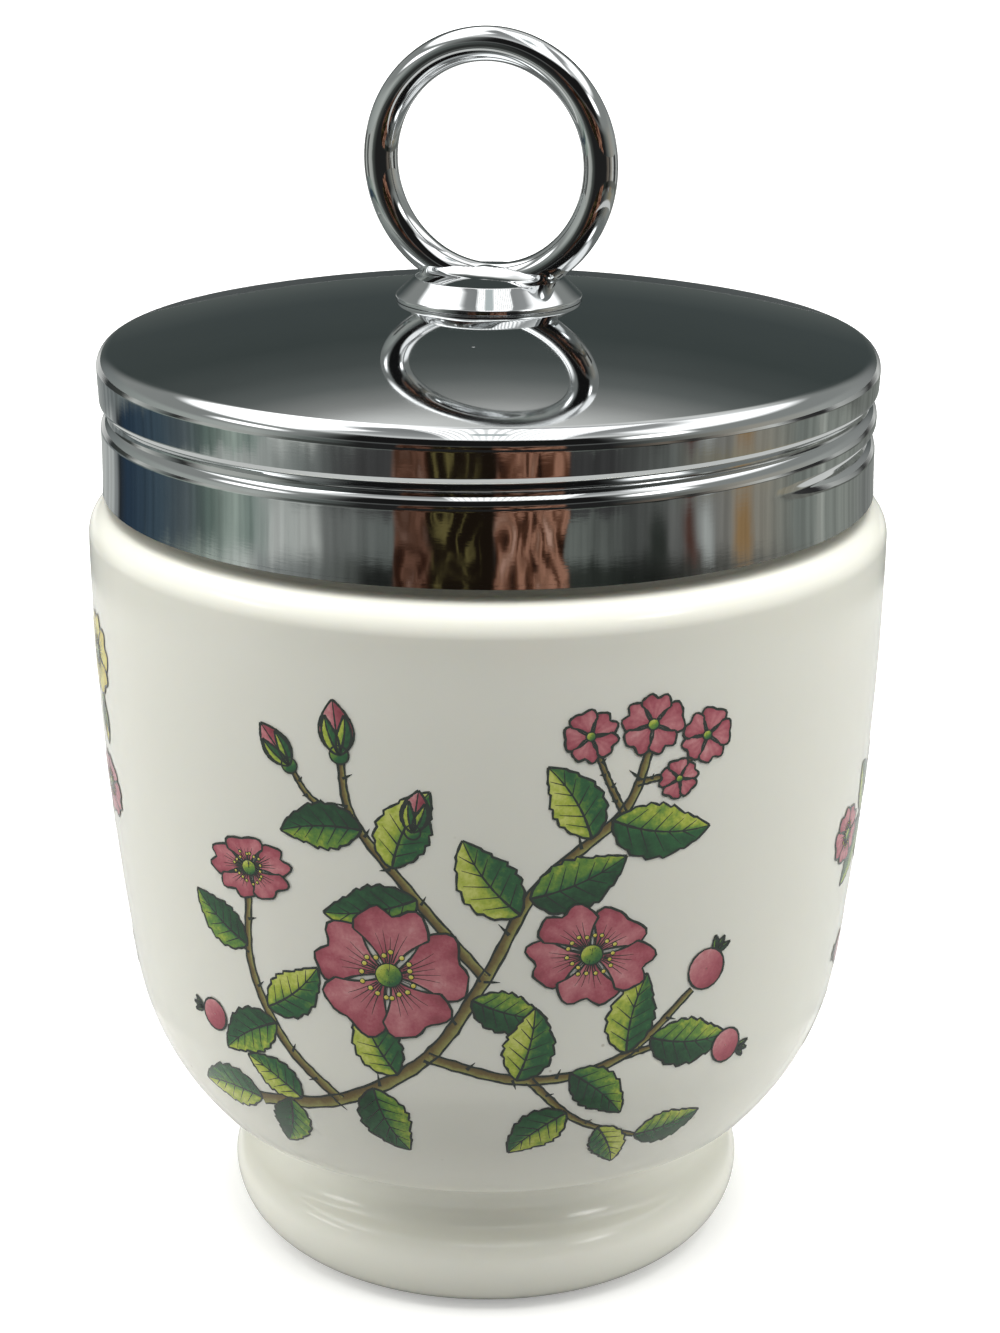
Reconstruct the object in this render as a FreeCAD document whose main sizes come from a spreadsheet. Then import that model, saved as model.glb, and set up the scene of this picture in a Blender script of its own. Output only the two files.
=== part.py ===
import FreeCAD, Part
import Sketcher
import math
import os
import re

# Egg coddler: a footed porcelain cup closed by a pressed metal screw cap, which is lifted by a
# wire finger ring.  Millimetres, +Z up, origin at the centre of the foot's underside.
# The finger ring stands in the XZ plane, so its hole looks along Y.

SIZES = [
    # foot of the cup
    ("waist_radius", 17.6, "narrowest radius between foot and bowl"),
    ("waist_round", 3.0, "radius of the hollow waist, seen in section"),
    ("foot_flare", 2.3, "how far the foot's rim stands out beyond the waist"),
    ("foot_rim_height", 4.6, "height of the foot's widest circle"),
    ("foot_tuck", 3.5, "how far the foot draws in from its rim to the table"),
    ("foot_ring_width", 2.8, "width of the ring that stands on the table"),
    ("foot_recess", 4.5, "depth of the hollow inside the foot ring"),
    ("foot_edge_round", 0.8, "rounding of the foot ring's inner edges"),
    # outside of the bowl
    ("bowl_edge_height", 11.9, "height of the sharp lower edge of the bowl"),
    ("bowl_edge_reach", 1.4, "flat stretch from the hollow waist out to that edge"),
    ("bowl_edge_round", 0.7, "rounding of the lower edge of the bowl"),
    ("bowl_rise", 10.9, "rise of the bowl's curve, up to the long side"),
    ("side_rise", 33.4, "rise of the long side, up to the widest circle"),
    ("side_arc", 240.0, "radius of the long side, seen in section"),
    ("shoulder_round", 2.3, "rounding from the side to the ledge under the cap"),
    ("ledge_width", 0.7, "flat width of the ledge around the neck"),
    # neck, rim and inside of the cup
    ("neck_radius", 26.5, "outer radius of the threaded neck"),
    ("neck_wall", 3.1, "thickness of the neck's wall"),
    ("neck_root_round", 0.5, "rounding where the neck meets the ledge"),
    ("rim_round", 1.2, "rounding of the rim's two edges"),
    ("bore_depth", 12.6, "length of the straight mouth, from the rim down"),
    ("belly_wall", 4.5, "thickness of the wall where the cup is widest"),
    ("inside_arc", 150.0, "radius of the inside between mouth and widest circle"),
    ("inside_rise", 23.2, "rise of the rounded bottom, from the floor to the widest circle inside"),
    ("floor_rise", 0.9, "height of the floor above the bowl's lower edge"),
    ("floor_radius", 9.0, "radius of the flat floor inside"),
    # pressed cap
    ("sheet_thickness", 0.45, "thickness of the cap's metal"),
    ("thread_clearance", 0.38, "gap between the neck's ridge and the cap's band"),
    ("band_rise", 4.3, "height of the band's slight waist above the ledge"),
    ("hem_flare", 0.15, "how far the cap's lower edge stands out beyond the band"),
    ("hem_gap", 0.35, "gap between the cap's lower edge and the cup's ledge"),
    ("hem_round", 0.18, "rounding of the cap's lower edge"),
    ("bead_flare", 0.25, "how far the rolled top edge stands out beyond the band"),
    ("bead_rise", 10.0, "height of the top edge's widest circle above the ledge"),
    ("bead_round", 1.45, "rounding of the top edge"),
    ("crown_rise", 4.6, "height of the cap's middle above that circle"),
    ("seat_gap", 0.2, "gap between the cup's rim and the cap that closes on it"),
    # thread: one right-handed helix, rolled into the cap and raised on the neck
    ("thread_pitch", 2.5, "rise of the thread in one turn"),
    ("thread_turns", 1.05, "turns at full depth"),
    ("thread_runout", 72.0, "degrees over which each end fades out"),
    ("groove_start_angle", 8.0, "direction where the cap's groove reaches full depth"),
    ("groove_start_rise", 5.42, "height of the cap's groove above the ledge at that direction"),
    ("groove_round", 0.75, "radius of the groove rolled into the cap's outside"),
    ("groove_depth", 0.7, "depth of that groove below the band's radius"),
    ("ridge_round", 0.68, "radius of the ridge on the neck"),
    ("ridge_reach", 0.92, "height of that ridge above the neck"),
    ("ridge_lead", 100.0, "degrees by which the ridge starts before the groove"),
    # boss that carries the ring, riveted through the cap
    ("boss_rim_radius", 5.4, "radius of the boss's top"),
    ("boss_rim_round", 0.2, "rounding of the top's edge"),
    ("boss_rise", 1.5, "height of that edge above the cap's middle"),
    ("boss_dome", 0.25, "how far the middle of the top stands above its edge"),
    ("boss_flare", 1.4, "how far the boss flares out from its top down to the cap"),
    ("boss_lip", 0.3, "height of the upright lip around the foot of the flare"),
    ("boss_lip_round", 0.1, "rounding of the lip's upper edge"),
    ("boss_seat_gap", 0.02, "solder gap between boss and cap"),
    ("shank_radius", 2.1, "radius of the shank that goes through the cap"),
    ("shank_clearance", 0.05, "radial clearance of the shank in cap and washer"),
    ("rivet_overlap", 1.3, "how far the shank's peened end spreads beyond the shank"),
    ("rivet_head_height", 0.9, "height of the shank's peened end"),
    ("washer_margin", 1.2, "how far the washer reaches beyond the peened end"),
    ("washer_thickness", 0.6, "thickness of the backing washer"),
    ("washer_gap", 0.05, "clearance above and below the washer"),
    # finger ring
    ("ring_radius", 8.41, "radius of the ring at the middle of its wire"),
    ("ring_wire_radius", 1.24, "radius of the ring's wire"),
    ("ring_sink", 0.61, "how far the middle of the wire lies below the top of the boss"),
    ("ring_solder_gap", 0.02, "solder gap around the wire in the boss"),
]

# Sizes that follow from the others.
DERIVED = {
    "foot_radius": "waist_radius + foot_flare",
    "foot_ground_radius": "foot_radius - foot_tuck",
    "foot_ring_inner_radius": "foot_ground_radius - foot_ring_width",
    "bowl_edge_radius": "waist_radius + waist_round + bowl_edge_reach",
    "side_start_height": "bowl_edge_height + bowl_rise",
    "side_start_radius": "belly_radius - side_arc + sqrt(side_arc^2 - side_rise^2)",
    "belly_radius": "neck_radius + ledge_width + shoulder_round",
    "belly_height": "side_start_height + side_rise",
    "ledge_height": "belly_height + shoulder_round",
    "bore_radius": "neck_radius - neck_wall",
    "inside_radius": "belly_radius - belly_wall",
    "inside_height": "floor_height + inside_rise",
    "bottom_step": "inside_radius - floor_radius",
    "bottom_arc": "(inside_rise^2 + bottom_step^2) / (2 * bottom_step)",
    "floor_height": "bowl_edge_height + floor_rise",
    "band_radius": "neck_radius + ridge_reach + thread_clearance + sheet_thickness",
    "band_height": "ledge_height + band_rise",
    "hem_radius": "band_radius + hem_flare",
    "hem_height": "ledge_height + hem_gap",
    "bead_radius": "band_radius + bead_flare",
    "bead_height": "ledge_height + bead_rise",
    "bead_centre_radius": "bead_radius - bead_round",
    "crown_height": "bead_height + crown_rise",
    # the crown is part of a ball that runs tangent into the rolled top edge
    "crown_ball": "(bead_centre_radius^2 + crown_rise^2 - bead_round^2) / (2 * (crown_rise - bead_round))",
    "crown_centre": "crown_height - crown_ball",
    "groove_start_height": "ledge_height + groove_start_rise",
    "boss_base_radius": "boss_rim_radius + boss_flare",
    "boss_rim_height": "crown_height + boss_rise",
    "boss_height": "boss_rim_height + boss_dome",
    "boss_top_arc": "(boss_rim_radius^2 + boss_dome^2) / (2 * boss_dome)",
    "rivet_head_radius": "shank_radius + rivet_overlap",
    "washer_radius": "rivet_head_radius + washer_margin",
    "ring_height": "boss_height + ring_radius - ring_sink",
}
ALIASES = {alias for alias, number, note in SIZES}

LINE = ("line",)
LEFT = 1
RIGHT = -1
SECTION_STEP = 15.0  # degrees between two sections of a thread
SECTION_FLATS = 5  # flats that stand for the rounded side of a thread's section
HIT = 0.001  # how near an edge has to be to the place where it is looked for

doc = FreeCAD.newDocument("egg_coddler")
sheet = doc.addObject("Spreadsheet::Sheet", "dims")
for row, (alias, number, note) in enumerate(SIZES, start=1):
    sheet.set(f"A{row}", alias)
    sheet.set(f"B{row}", str(number))
    sheet.set(f"C{row}", note)
    sheet.setAlias(f"B{row}", alias)
doc.recompute()


def bound(text):
    """The same expression, written out in sizes that are read from the sheet."""

    def written_out(word):
        if word[0] in DERIVED:
            return "(" + bound(DERIVED[word[0]]) + ")"
        return "dims." + word[0] if word[0] in ALIASES else word[0]

    return re.sub("[a-z_]+", written_out, text)


def value(text):
    """What an expression of sizes comes to now."""
    return float(sheet.evalExpression(bound(text)))


def crown_at(radius, depth="0"):
    """Height of the crown's surface at a radius, or of the surface that lies depth below it."""
    return f"(crown_centre + sqrt((crown_ball - {depth})^2 - ({radius})^2))"


RIM_HEIGHT = f"({crown_at('neck_radius - rim_round', 'sheet_thickness')} - seat_gap)"
WASHER_TOP = f"({crown_at('washer_radius', 'sheet_thickness')} - washer_gap)"
RIVET_TOP = f"({WASHER_TOP} - washer_thickness - washer_gap)"


# ---------------------------------------------------------------- sketches and features


def side_of(start, end):
    """Length of the way from start to end, and the unit vector to its left."""
    way = end - start
    return way.Length, FreeCAD.Vector(-way.y, way.x, 0) / way.Length


def arc_centre(start, end, radius, turn):
    """Centre of the short arc from start to end that turns left or right."""
    length, left = side_of(start, end)
    return (start + end) / 2 + left * turn * math.sqrt(radius**2 - length**2 / 4)


def tangent_centre(start, end, next_centre):
    """Centre of the arc from start to end that runs tangent into an arc about next_centre."""
    normal = (end - next_centre).normalize()
    return end + normal * ((end - start).Length ** 2 / (2 * normal.dot(start - end)))


def draw_arc(centre, start, end, turn):
    """An arc as a sketch holds it: always to the left, from its first to its second point."""
    first, second = (start, end) if turn == LEFT else (end, start)
    angles = [math.atan2(p.y - centre.y, p.x - centre.x) for p in (first, second)]
    circle = Part.Circle(centre, FreeCAD.Vector(0, 0, 1), (start - centre).Length)
    return Part.ArcOfCircle(circle, *angles)


def origin_plane(body, role):
    return next(f for f in body.Origin.OriginFeatures if f.Role == role)


def new_sketch(body, name, role):
    sketch = body.newObject("Sketcher::SketchObject", name)
    sketch.AttachmentSupport = (origin_plane(body, role), "")
    sketch.MapMode = "FlatFace"
    return sketch


def bind(sketch, name, text, *constraint):
    """Add a constraint whose value is an expression of sizes."""
    index = sketch.addConstraint(Sketcher.Constraint(*constraint, value(text)))
    sketch.renameConstraint(index, name)
    sketch.setExpression(f"Constraints.{name}", bound(text))


def place(sketch, name, edge, end, across, up):
    """Hold one end of an edge at two coordinates, each an expression or "0" for on the axis."""
    for axis, kind, text in ((-2, "DistanceX", across), (-1, "DistanceY", up)):
        if text == "0":
            sketch.addConstraint(Sketcher.Constraint("PointOnObject", edge, end, axis))
        else:
            bind(sketch, f"{name}_{kind[-1]}", text, kind, -1, 1, edge, end)


def outline(body, name, corners):
    """A closed sketch in the XZ plane, drawn to the left around its inside.

    A corner is (radius, height, edge), and the edge to the next corner is LINE,
    ("arc", radius, turn) or ("tangent", turn), which runs tangent into the arc after it.
    """
    sketch = new_sketch(body, name, "XZ_Plane")
    points = [FreeCAD.Vector(value(r), value(z), 0) for r, z, edge in corners]
    count = len(corners)
    centres = {
        i: arc_centre(points[i], points[(i + 1) % count], value(edge[1]), edge[2])
        for i, (r, z, edge) in enumerate(corners)
        if edge[0] == "arc"
    }
    ends = []
    for i, (r, z, edge) in enumerate(corners):
        start, end = points[i], points[(i + 1) % count]
        if edge[0] == "tangent":
            centres[i] = tangent_centre(start, end, centres[i + 1])
        if edge == LINE:
            sketch.addGeometry(Part.LineSegment(start, end))
        else:
            sketch.addGeometry(draw_arc(centres[i], start, end, edge[-1]))
        ends.append((2, 1) if edge[-1] == RIGHT else (1, 2))
    for i, (r, z, edge) in enumerate(corners):
        after = (i + 1) % count
        joint = "Tangent" if edge[0] == "tangent" else "Coincident"
        sketch.addConstraint(Sketcher.Constraint(joint, i, ends[i][1], after, ends[after][0]))
        place(sketch, f"corner{i}", i, ends[i][0], r, z)
        if edge[0] == "arc":
            bind(sketch, f"arc{i}", edge[1], "Radius", i)
    return sketch


def new_body(name):
    body = doc.addObject("PartDesign::Body", name)
    body.Label = name
    return body


def revolve(body, corners):
    """Turn an outline about the Z axis."""
    sketch = outline(body, body.Name + "_outline", corners)
    turned = body.newObject("PartDesign::Revolution", body.Name + "_turned")
    turned.Profile = sketch
    turned.ReferenceAxis = (sketch, ["V_Axis"])
    turned.Angle = 360
    sketch.Visibility = False
    doc.recompute()
    return turned


def round_edges(body, name, radius, circles):
    """Fillet the circular edges of the body that lie at the given radii and heights."""
    wanted = [(value(r), value(z)) for r, z in circles]
    edges = []
    for number, edge in enumerate(body.Tip.Shape.Edges, start=1):
        if edge.Degenerated or not isinstance(edge.Curve, Part.Circle):
            continue
        curve = edge.Curve
        if any(math.hypot(curve.Radius - r, curve.Center.z - z) < HIT for r, z in wanted):
            edges.append(f"Edge{number}")
    if len(edges) != len(wanted):
        raise RuntimeError(f"{name}: {len(edges)} of {len(wanted)} edges found")
    base = body.Tip
    fillet = body.newObject("PartDesign::Fillet", name)
    fillet.Base = (base, edges)
    fillet.setExpression("Radius", bound(radius))
    doc.recompute()


def cut(name, base, tool):
    piece = doc.addObject("Part::Cut", name)
    piece.Base = base
    piece.Tool = tool
    piece.Label = name
    return piece


def half_round(radius, side):
    """Section of a thread: a half round towards side, in flats that touch its circle, and a
    square back of the same width."""
    corner = radius / math.cos(math.pi / (2 * SECTION_FLATS))
    angles = [math.pi * (i / SECTION_FLATS - 0.5) for i in range(SECTION_FLATS + 1)]
    points = [(side * corner * math.cos(a), corner * math.sin(a)) for a in angles]
    points += [(-side * corner, corner), (-side * corner, -corner), points[0]]
    return Part.makePolygon([FreeCAD.Vector(across, 0, up) for across, up in points])


def thread_rod(name, radius, side, centre_radius, fade, angle, height):
    """A half-round rod along the thread's helix, whose two ends drift off radially by fade.
    Its round side looks away from the axis where side is 1, and towards it where it is -1."""
    turns = 360 * value("thread_turns")
    runout = value("thread_runout")
    count = math.ceil((turns + 2 * runout) / SECTION_STEP)
    section = half_round(value(radius), side)
    sections = []
    for i in range(count + 1):
        along = -runout + (turns + 2 * runout) * i / count
        faded = max(-along, along - turns, 0) / runout
        reach = value(centre_radius) + value(fade) * faded**2
        turn = FreeCAD.Rotation(FreeCAD.Vector(0, 0, 1), value(angle) + along)
        rise = value(height) + value("thread_pitch") * along / 360
        spot = turn.multVec(FreeCAD.Vector(reach, 0, 0)) + FreeCAD.Vector(0, 0, rise)
        placed = section.copy()
        placed.Placement = FreeCAD.Placement(spot, turn)
        sections.append(placed)
    rod = doc.addObject("Part::Feature", name)
    rod.Shape = Part.makeLoft(sections, True)
    return rod


# ---------------------------------------------------------------- porcelain cup


def foot_corners():
    """Hollow underside, ground ring, rounded rim and the waist, up to the bowl's lower edge."""
    waist_centre_radius = "(waist_radius + waist_round)"
    waist_centre_height = "(bowl_edge_height - waist_round)"
    # the rim's upper rounding touches the waist's hollow
    across = f"({waist_centre_radius} - foot_radius)"
    up = f"({waist_centre_height} - foot_rim_height)"
    upper = f"(({across}^2 + {up}^2 - waist_round^2) / (2 * (waist_round - {across})))"
    share = f"({upper} / ({upper} + waist_round))"
    step = "(foot_radius - foot_ground_radius)"
    lower = f"(({step}^2 + foot_rim_height^2) / (2 * {step}))"
    return [
        ("0", "foot_recess", LINE),
        ("foot_ring_inner_radius", "foot_recess", LINE),
        ("foot_ring_inner_radius", "0", LINE),
        ("foot_ground_radius", "0", ("arc", lower, LEFT)),
        ("foot_radius", "foot_rim_height", ("arc", upper, LEFT)),
        (
            f"foot_radius - {upper} + ({across} + {upper}) * {share}",
            f"foot_rim_height + {up} * {share}",
            ("arc", "waist_round", RIGHT),
        ),
        ("waist_radius", waist_centre_height, ("arc", "waist_round", RIGHT)),
        (waist_centre_radius, "bowl_edge_height", LINE),
    ]


def bowl_corners():
    """Egg-shaped bowl, long side, shoulder and ledge, up to the neck's root."""
    return [
        ("bowl_edge_radius", "bowl_edge_height", ("tangent", LEFT)),
        ("side_start_radius", "side_start_height", ("arc", "side_arc", LEFT)),
        ("belly_radius", "belly_height", ("arc", "shoulder_round", LEFT)),
        ("neck_radius + ledge_width", "ledge_height", LINE),
    ]


def neck_and_inside_corners():
    """Neck, rim, straight mouth, wider inside and the rounded bottom with its floor."""
    return [
        ("neck_radius", "ledge_height", LINE),
        ("neck_radius", RIM_HEIGHT, LINE),
        ("bore_radius", RIM_HEIGHT, LINE),
        ("bore_radius", f"{RIM_HEIGHT} - bore_depth", ("arc", "inside_arc", RIGHT)),
        ("inside_radius", "inside_height", ("arc", "bottom_arc", RIGHT)),
        ("floor_radius", "floor_height", LINE),
        ("0", "floor_height", LINE),
    ]


def make_cup():
    body = new_body("cup_blank")
    revolve(body, foot_corners() + bowl_corners() + neck_and_inside_corners())
    round_edges(
        body,
        "foot_ring_edges",
        "foot_edge_round",
        [("foot_ring_inner_radius", "0"), ("foot_ring_inner_radius", "foot_recess")],
    )
    round_edges(body, "bowl_edge", "bowl_edge_round", [("bowl_edge_radius", "bowl_edge_height")])
    round_edges(body, "neck_root", "neck_root_round", [("neck_radius", "ledge_height")])
    round_edges(
        body, "rim_edges", "rim_round", [("neck_radius", RIM_HEIGHT), ("bore_radius", RIM_HEIGHT)]
    )
    # the ridge runs half a pitch above the cap's groove, and its ends sink into the neck
    ridge = thread_rod(
        "neck_ridge",
        radius="ridge_round",
        side=1,
        centre_radius="neck_radius + ridge_reach - ridge_round",
        fade="-(ridge_reach + ridge_round / 4)",
        angle="groove_start_angle - ridge_lead",
        height="groove_start_height + thread_pitch / 2 - thread_pitch * ridge_lead / 360",
    )
    cup = doc.addObject("Part::Fuse", "porcelain_cup")
    cup.Base = body
    cup.Tool = ridge
    cup.Label = "porcelain_cup"
    return cup


# ---------------------------------------------------------------- screw cap


def cap_corners(inset, bottom):
    """Outline of the cap, or of the space inside it, which lies inset further in."""
    reach = f"(crown_ball - {inset}) / (crown_ball - bead_round)"
    crown_edge = f"crown_centre + (bead_height - crown_centre) * {reach}"
    return [
        ("0", bottom, LINE),
        (f"hem_radius - {inset}", bottom, LINE),
        (f"band_radius - {inset}", "band_height", LINE),
        (f"bead_radius - {inset}", "bead_height", ("arc", f"bead_round - {inset}", LEFT)),
        (f"bead_centre_radius * {reach}", crown_edge, ("arc", f"crown_ball - {inset}", LEFT)),
        ("0", f"crown_height - {inset}", LINE),
    ]


def make_cap():
    outside = new_body("cap_outside")
    revolve(outside, cap_corners("0", "hem_height"))
    round_edges(outside, "hem_edge", "hem_round", [("hem_radius", "hem_height")])
    inside = new_body("cap_inside")
    revolve(inside, cap_corners("sheet_thickness", "hem_height - sheet_thickness"))
    # rolling the groove pushes the sheet inwards: a larger rod shapes the inside
    path = {
        "side": -1,
        "centre_radius": "band_radius - groove_depth + groove_round",
        "fade": "groove_depth + groove_round / 2",
        "angle": "groove_start_angle",
        "height": "groove_start_height",
    }
    groove = thread_rod("cap_groove", radius="groove_round", **path)
    bulge = thread_rod("cap_bulge", radius="groove_round + sheet_thickness", **path)
    hole = doc.addObject("Part::Cylinder", "cap_hole")
    hole.setExpression("Radius", bound("shank_radius + shank_clearance"))
    hole.setExpression("Height", bound("crown_height"))
    hole.setExpression("Placement.Base.z", bound("hem_height"))
    hollow = cut("cap_hollow", inside, bulge)
    shell = cut("cap_shell", outside, hollow)
    rolled = cut("cap_rolled", shell, groove)
    return cut("screw_cap", rolled, hole)


# ---------------------------------------------------------------- boss, washer and finger ring


def make_boss():
    body = new_body("ring_boss")
    seat = f"({crown_at('shank_radius')} + boss_seat_gap)"
    rim_seat = f"({crown_at('boss_base_radius')} + boss_seat_gap)"
    dome = "(rivet_head_radius^2 + rivet_head_height^2) / (2 * rivet_head_height)"
    revolve(
        body,
        [
            ("0", f"{RIVET_TOP} - rivet_head_height", ("arc", dome, LEFT)),
            ("rivet_head_radius", RIVET_TOP, LINE),
            ("shank_radius", RIVET_TOP, LINE),
            ("shank_radius", seat, ("arc", "crown_ball + boss_seat_gap", RIGHT)),
            ("boss_base_radius", rim_seat, LINE),
            ("boss_base_radius", f"{rim_seat} + boss_lip", LINE),
            ("boss_rim_radius", "boss_rim_height", ("arc", "boss_top_arc", LEFT)),
            ("0", "boss_height", LINE),
        ],
    )
    round_edges(body, "rim_edge", "boss_rim_round", [("boss_rim_radius", "boss_rim_height")])
    lip = [("boss_base_radius", f"{rim_seat} + boss_lip")]
    round_edges(body, "lip_edge", "boss_lip_round", lip)
    # saddle for the ring: the wire's section beside the ring's centre, turned about the ring's axis
    sketch = new_sketch(body, "saddle_section", "XY_Plane")
    sketch.setExpression("AttachmentOffset.Base.z", bound("ring_height"))
    wire = "ring_wire_radius + ring_solder_gap"
    centre = FreeCAD.Vector(-value("ring_radius"), 0, 0)
    sketch.addGeometry(Part.Circle(centre, FreeCAD.Vector(0, 0, 1), value(wire)))
    place(sketch, "wire", 0, 3, "-ring_radius", "0")
    bind(sketch, "wire_radius", wire, "Radius", 0)
    before = body.Shape.Volume
    saddle = body.newObject("PartDesign::Groove", "saddle")
    saddle.Profile = sketch
    saddle.ReferenceAxis = (sketch, ["V_Axis"])
    saddle.Angle = 360
    doc.recompute()
    if body.Shape.Volume >= before:
        raise RuntimeError("the saddle cuts nothing")
    return body


def make_washer():
    body = new_body("backing_washer")
    sketch = new_sketch(body, "washer_face", "XY_Plane")
    sketch.setExpression("AttachmentOffset.Base.z", bound(f"{WASHER_TOP} - washer_thickness"))
    for i, radius in enumerate(("washer_radius", "shank_radius + shank_clearance")):
        sketch.addGeometry(Part.Circle(FreeCAD.Vector(), FreeCAD.Vector(0, 0, 1), value(radius)))
        sketch.addConstraint(Sketcher.Constraint("Coincident", i, 3, -1, 1))
        bind(sketch, f"radius{i}", radius, "Radius", i)
    pad = body.newObject("PartDesign::Pad", "washer_pad")
    pad.Profile = sketch
    pad.setExpression("Length", bound("washer_thickness"))
    return body


def make_ring():
    ring = doc.addObject("Part::Torus", "finger_ring")
    ring.Label = "finger_ring"
    ring.Placement = FreeCAD.Placement(
        FreeCAD.Vector(), FreeCAD.Rotation(FreeCAD.Vector(1, 0, 0), 90)
    )
    ring.setExpression("Radius1", bound("ring_radius"))
    ring.setExpression("Radius2", bound("ring_wire_radius"))
    ring.setExpression("Placement.Base.z", bound("ring_height"))
    return ring


# ---------------------------------------------------------------- checks and export


def check(pieces):
    doc.recompute()
    for item in doc.Objects:
        if "Invalid" in item.State or "Error" in item.State:
            raise RuntimeError(f"{item.Name} failed: {item.State}")
    for piece in pieces:
        if piece.Shape.isNull() or not piece.Shape.isValid() or len(piece.Shape.Solids) != 1:
            raise RuntimeError(f"{piece.Label} is not one valid solid")


def export(pieces):
    os.makedirs("parts", exist_ok=True)
    for piece in pieces:
        piece.Shape.exportStep(f"parts/{piece.Label}.step")
        box = piece.Shape.BoundBox
        print(f"{piece.Label}: {piece.Shape.Volume:.1f} mm3, z {box.ZMin:.2f} to {box.ZMax:.2f}")


parts = [make_cup(), make_cap(), make_boss(), make_washer(), make_ring()]
check(parts)
export(parts)
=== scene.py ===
import math

import bpy
import numpy as np
from mathutils import Matrix, Vector


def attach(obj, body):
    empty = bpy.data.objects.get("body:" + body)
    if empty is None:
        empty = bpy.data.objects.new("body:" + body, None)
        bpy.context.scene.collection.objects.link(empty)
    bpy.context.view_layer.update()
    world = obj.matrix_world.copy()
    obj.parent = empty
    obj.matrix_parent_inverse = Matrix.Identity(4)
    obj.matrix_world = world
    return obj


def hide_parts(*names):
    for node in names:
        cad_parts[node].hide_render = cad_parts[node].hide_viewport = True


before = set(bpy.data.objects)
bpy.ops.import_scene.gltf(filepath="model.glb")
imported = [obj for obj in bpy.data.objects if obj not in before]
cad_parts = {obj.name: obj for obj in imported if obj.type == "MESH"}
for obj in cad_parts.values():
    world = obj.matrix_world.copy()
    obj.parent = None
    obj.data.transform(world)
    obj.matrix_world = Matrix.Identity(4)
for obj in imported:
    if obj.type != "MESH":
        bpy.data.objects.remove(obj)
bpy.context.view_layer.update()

# Looks of an egg coddler: a glazed porcelain cup with printed sprays, a chrome-plated screw cap,
# its riveted boss and the finger ring.  Sizes are in millimetres and become metres in the meshes.
MM = 0.001

# camera, fitted to the photograph, in metres and degrees
CAMERA_SIDE = -69.8  # direction in the row frame that looks towards the camera
CAMERA_PLACE = (0.071354, -0.191224, 0.112825)
CAMERA_TURN = 20.2
CAMERA_DIP = 18.474
CAMERA_ROLL = 0.004972  # radians
LENS = 76.597

# cup
WAIST_RADIUS = 17.6
WAIST_ROUND = 3.0
FOOT_RADIUS = 19.9
FOOT_RIM_HEIGHT = 4.6
FOOT_GROUND_RADIUS = 16.4
FOOT_RING_INNER_RADIUS = 13.6
FOOT_RECESS = 4.5
FOOT_EDGE_ROUND = 0.8
GROUND_FACE_TOP = 0.03
BOWL_EDGE_RADIUS = 22.0
BOWL_EDGE_HEIGHT = 11.9
BOWL_EDGE_ROUND = 0.7
SIDE_START_HEIGHT = 22.8
SIDE_ARC = 240.0
SIDE_RISE = 33.4
BELLY_RADIUS = 29.5
BELLY_HEIGHT = 56.2
SHOULDER_ROUND = 2.3
LEDGE_HEIGHT = 58.5
NECK_RADIUS = 26.5
NECK_ROOT_ROUND = 0.5
RIM_ROUND = 1.2
BORE_RADIUS = 23.4
BORE_DEPTH = 12.6
INSIDE_RADIUS = 25.0
INSIDE_HEIGHT = 36.0
INSIDE_ARC = 150.0
FLOOR_RADIUS = 9.0
FLOOR_HEIGHT = 12.8

# cap
SHEET = 0.45
CROWN_HEIGHT = 73.1
BEAD_RADIUS = 28.5
BEAD_HEIGHT = 68.5
BEAD_ROUND = 1.45
BAND_RADIUS = 28.25
BAND_HEIGHT = 62.8
BAND_ROUND = 85.0
HEM_RADIUS = 28.4
HEM_HEIGHT = 58.85
HEM_ROUND = 0.18
SEAT_GAP = 0.2
CAP_HOLE_RADIUS = 2.15

# thread
PITCH = 2.5
TURNS = 1.05
RUNOUT = 72.0
GROOVE_START = 8.0
GROOVE_START_HEIGHT = 63.92
GROOVE_DEPTH = 0.7
GROOVE_RUN_IN = 38.0
RIDGE_LEAD = 100.0
RIDGE_REACH = 0.92
RIDGE_HALF_WIDTH = 1.15

# the groove's section, from below upwards, off its middle
ROLL_START = -1.37
ROLL_END = -0.22
ROLL_RADIUS = 1.3
ROOT_END = -0.17
ROOT_SLOPE = 0.2
FLANK_END = 0.35
FLANK_SLOPE = 1.1
FLANK_BEND = 0.529
GROOVE_TOP = 0.85
SECTION_DEPTH = 0.704

# boss and finger ring
BOSS_BASE_RADIUS = 6.8
BOSS_LIP = 0.3
BOSS_LIP_ROUND = 0.24
BOSS_RIM_RADIUS = 5.4
BOSS_RIM_HEIGHT = 74.6
BOSS_RIM_ROUND = 0.2
BOSS_HEIGHT = 74.85
BOSS_SEAT_GAP = 0.02
SHANK_RADIUS = 2.1
RIVET_HEAD_RADIUS = 3.4
RIVET_HEAD_HEIGHT = 0.9
WASHER_RADIUS = 4.6
WASHER_THICKNESS = 0.6
WASHER_GAP = 0.05
RING_RADIUS = 8.41
RING_WIRE = 1.24
RING_HEIGHT = 82.65
RING_WAVINESS = 0.008
SOLDER_GAP = 0.02
SOLDER_RISE = 0.5
SOLDER_SPREAD = 1.5
SOLDER_OVERLAP = 0.15
SOLDER_END = 5.2
SOLDER_END_FADE = 0.9
BOSS_SHARP_ANGLE = 32.0

# rows and columns of the meshes
COLUMNS = 360
BOSS_COLUMNS = 240
SADDLE_GRID = (240, 72)
WIRE_GRID = (288, 64)

CROWN_RISE = CROWN_HEIGHT - BEAD_HEIGHT
BEAD_CENTRE = BEAD_RADIUS - BEAD_ROUND
CROWN_BALL = (BEAD_CENTRE**2 + CROWN_RISE**2 - BEAD_ROUND**2) / (2 * (CROWN_RISE - BEAD_ROUND))
CROWN_CENTRE = CROWN_HEIGHT - CROWN_BALL


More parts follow.
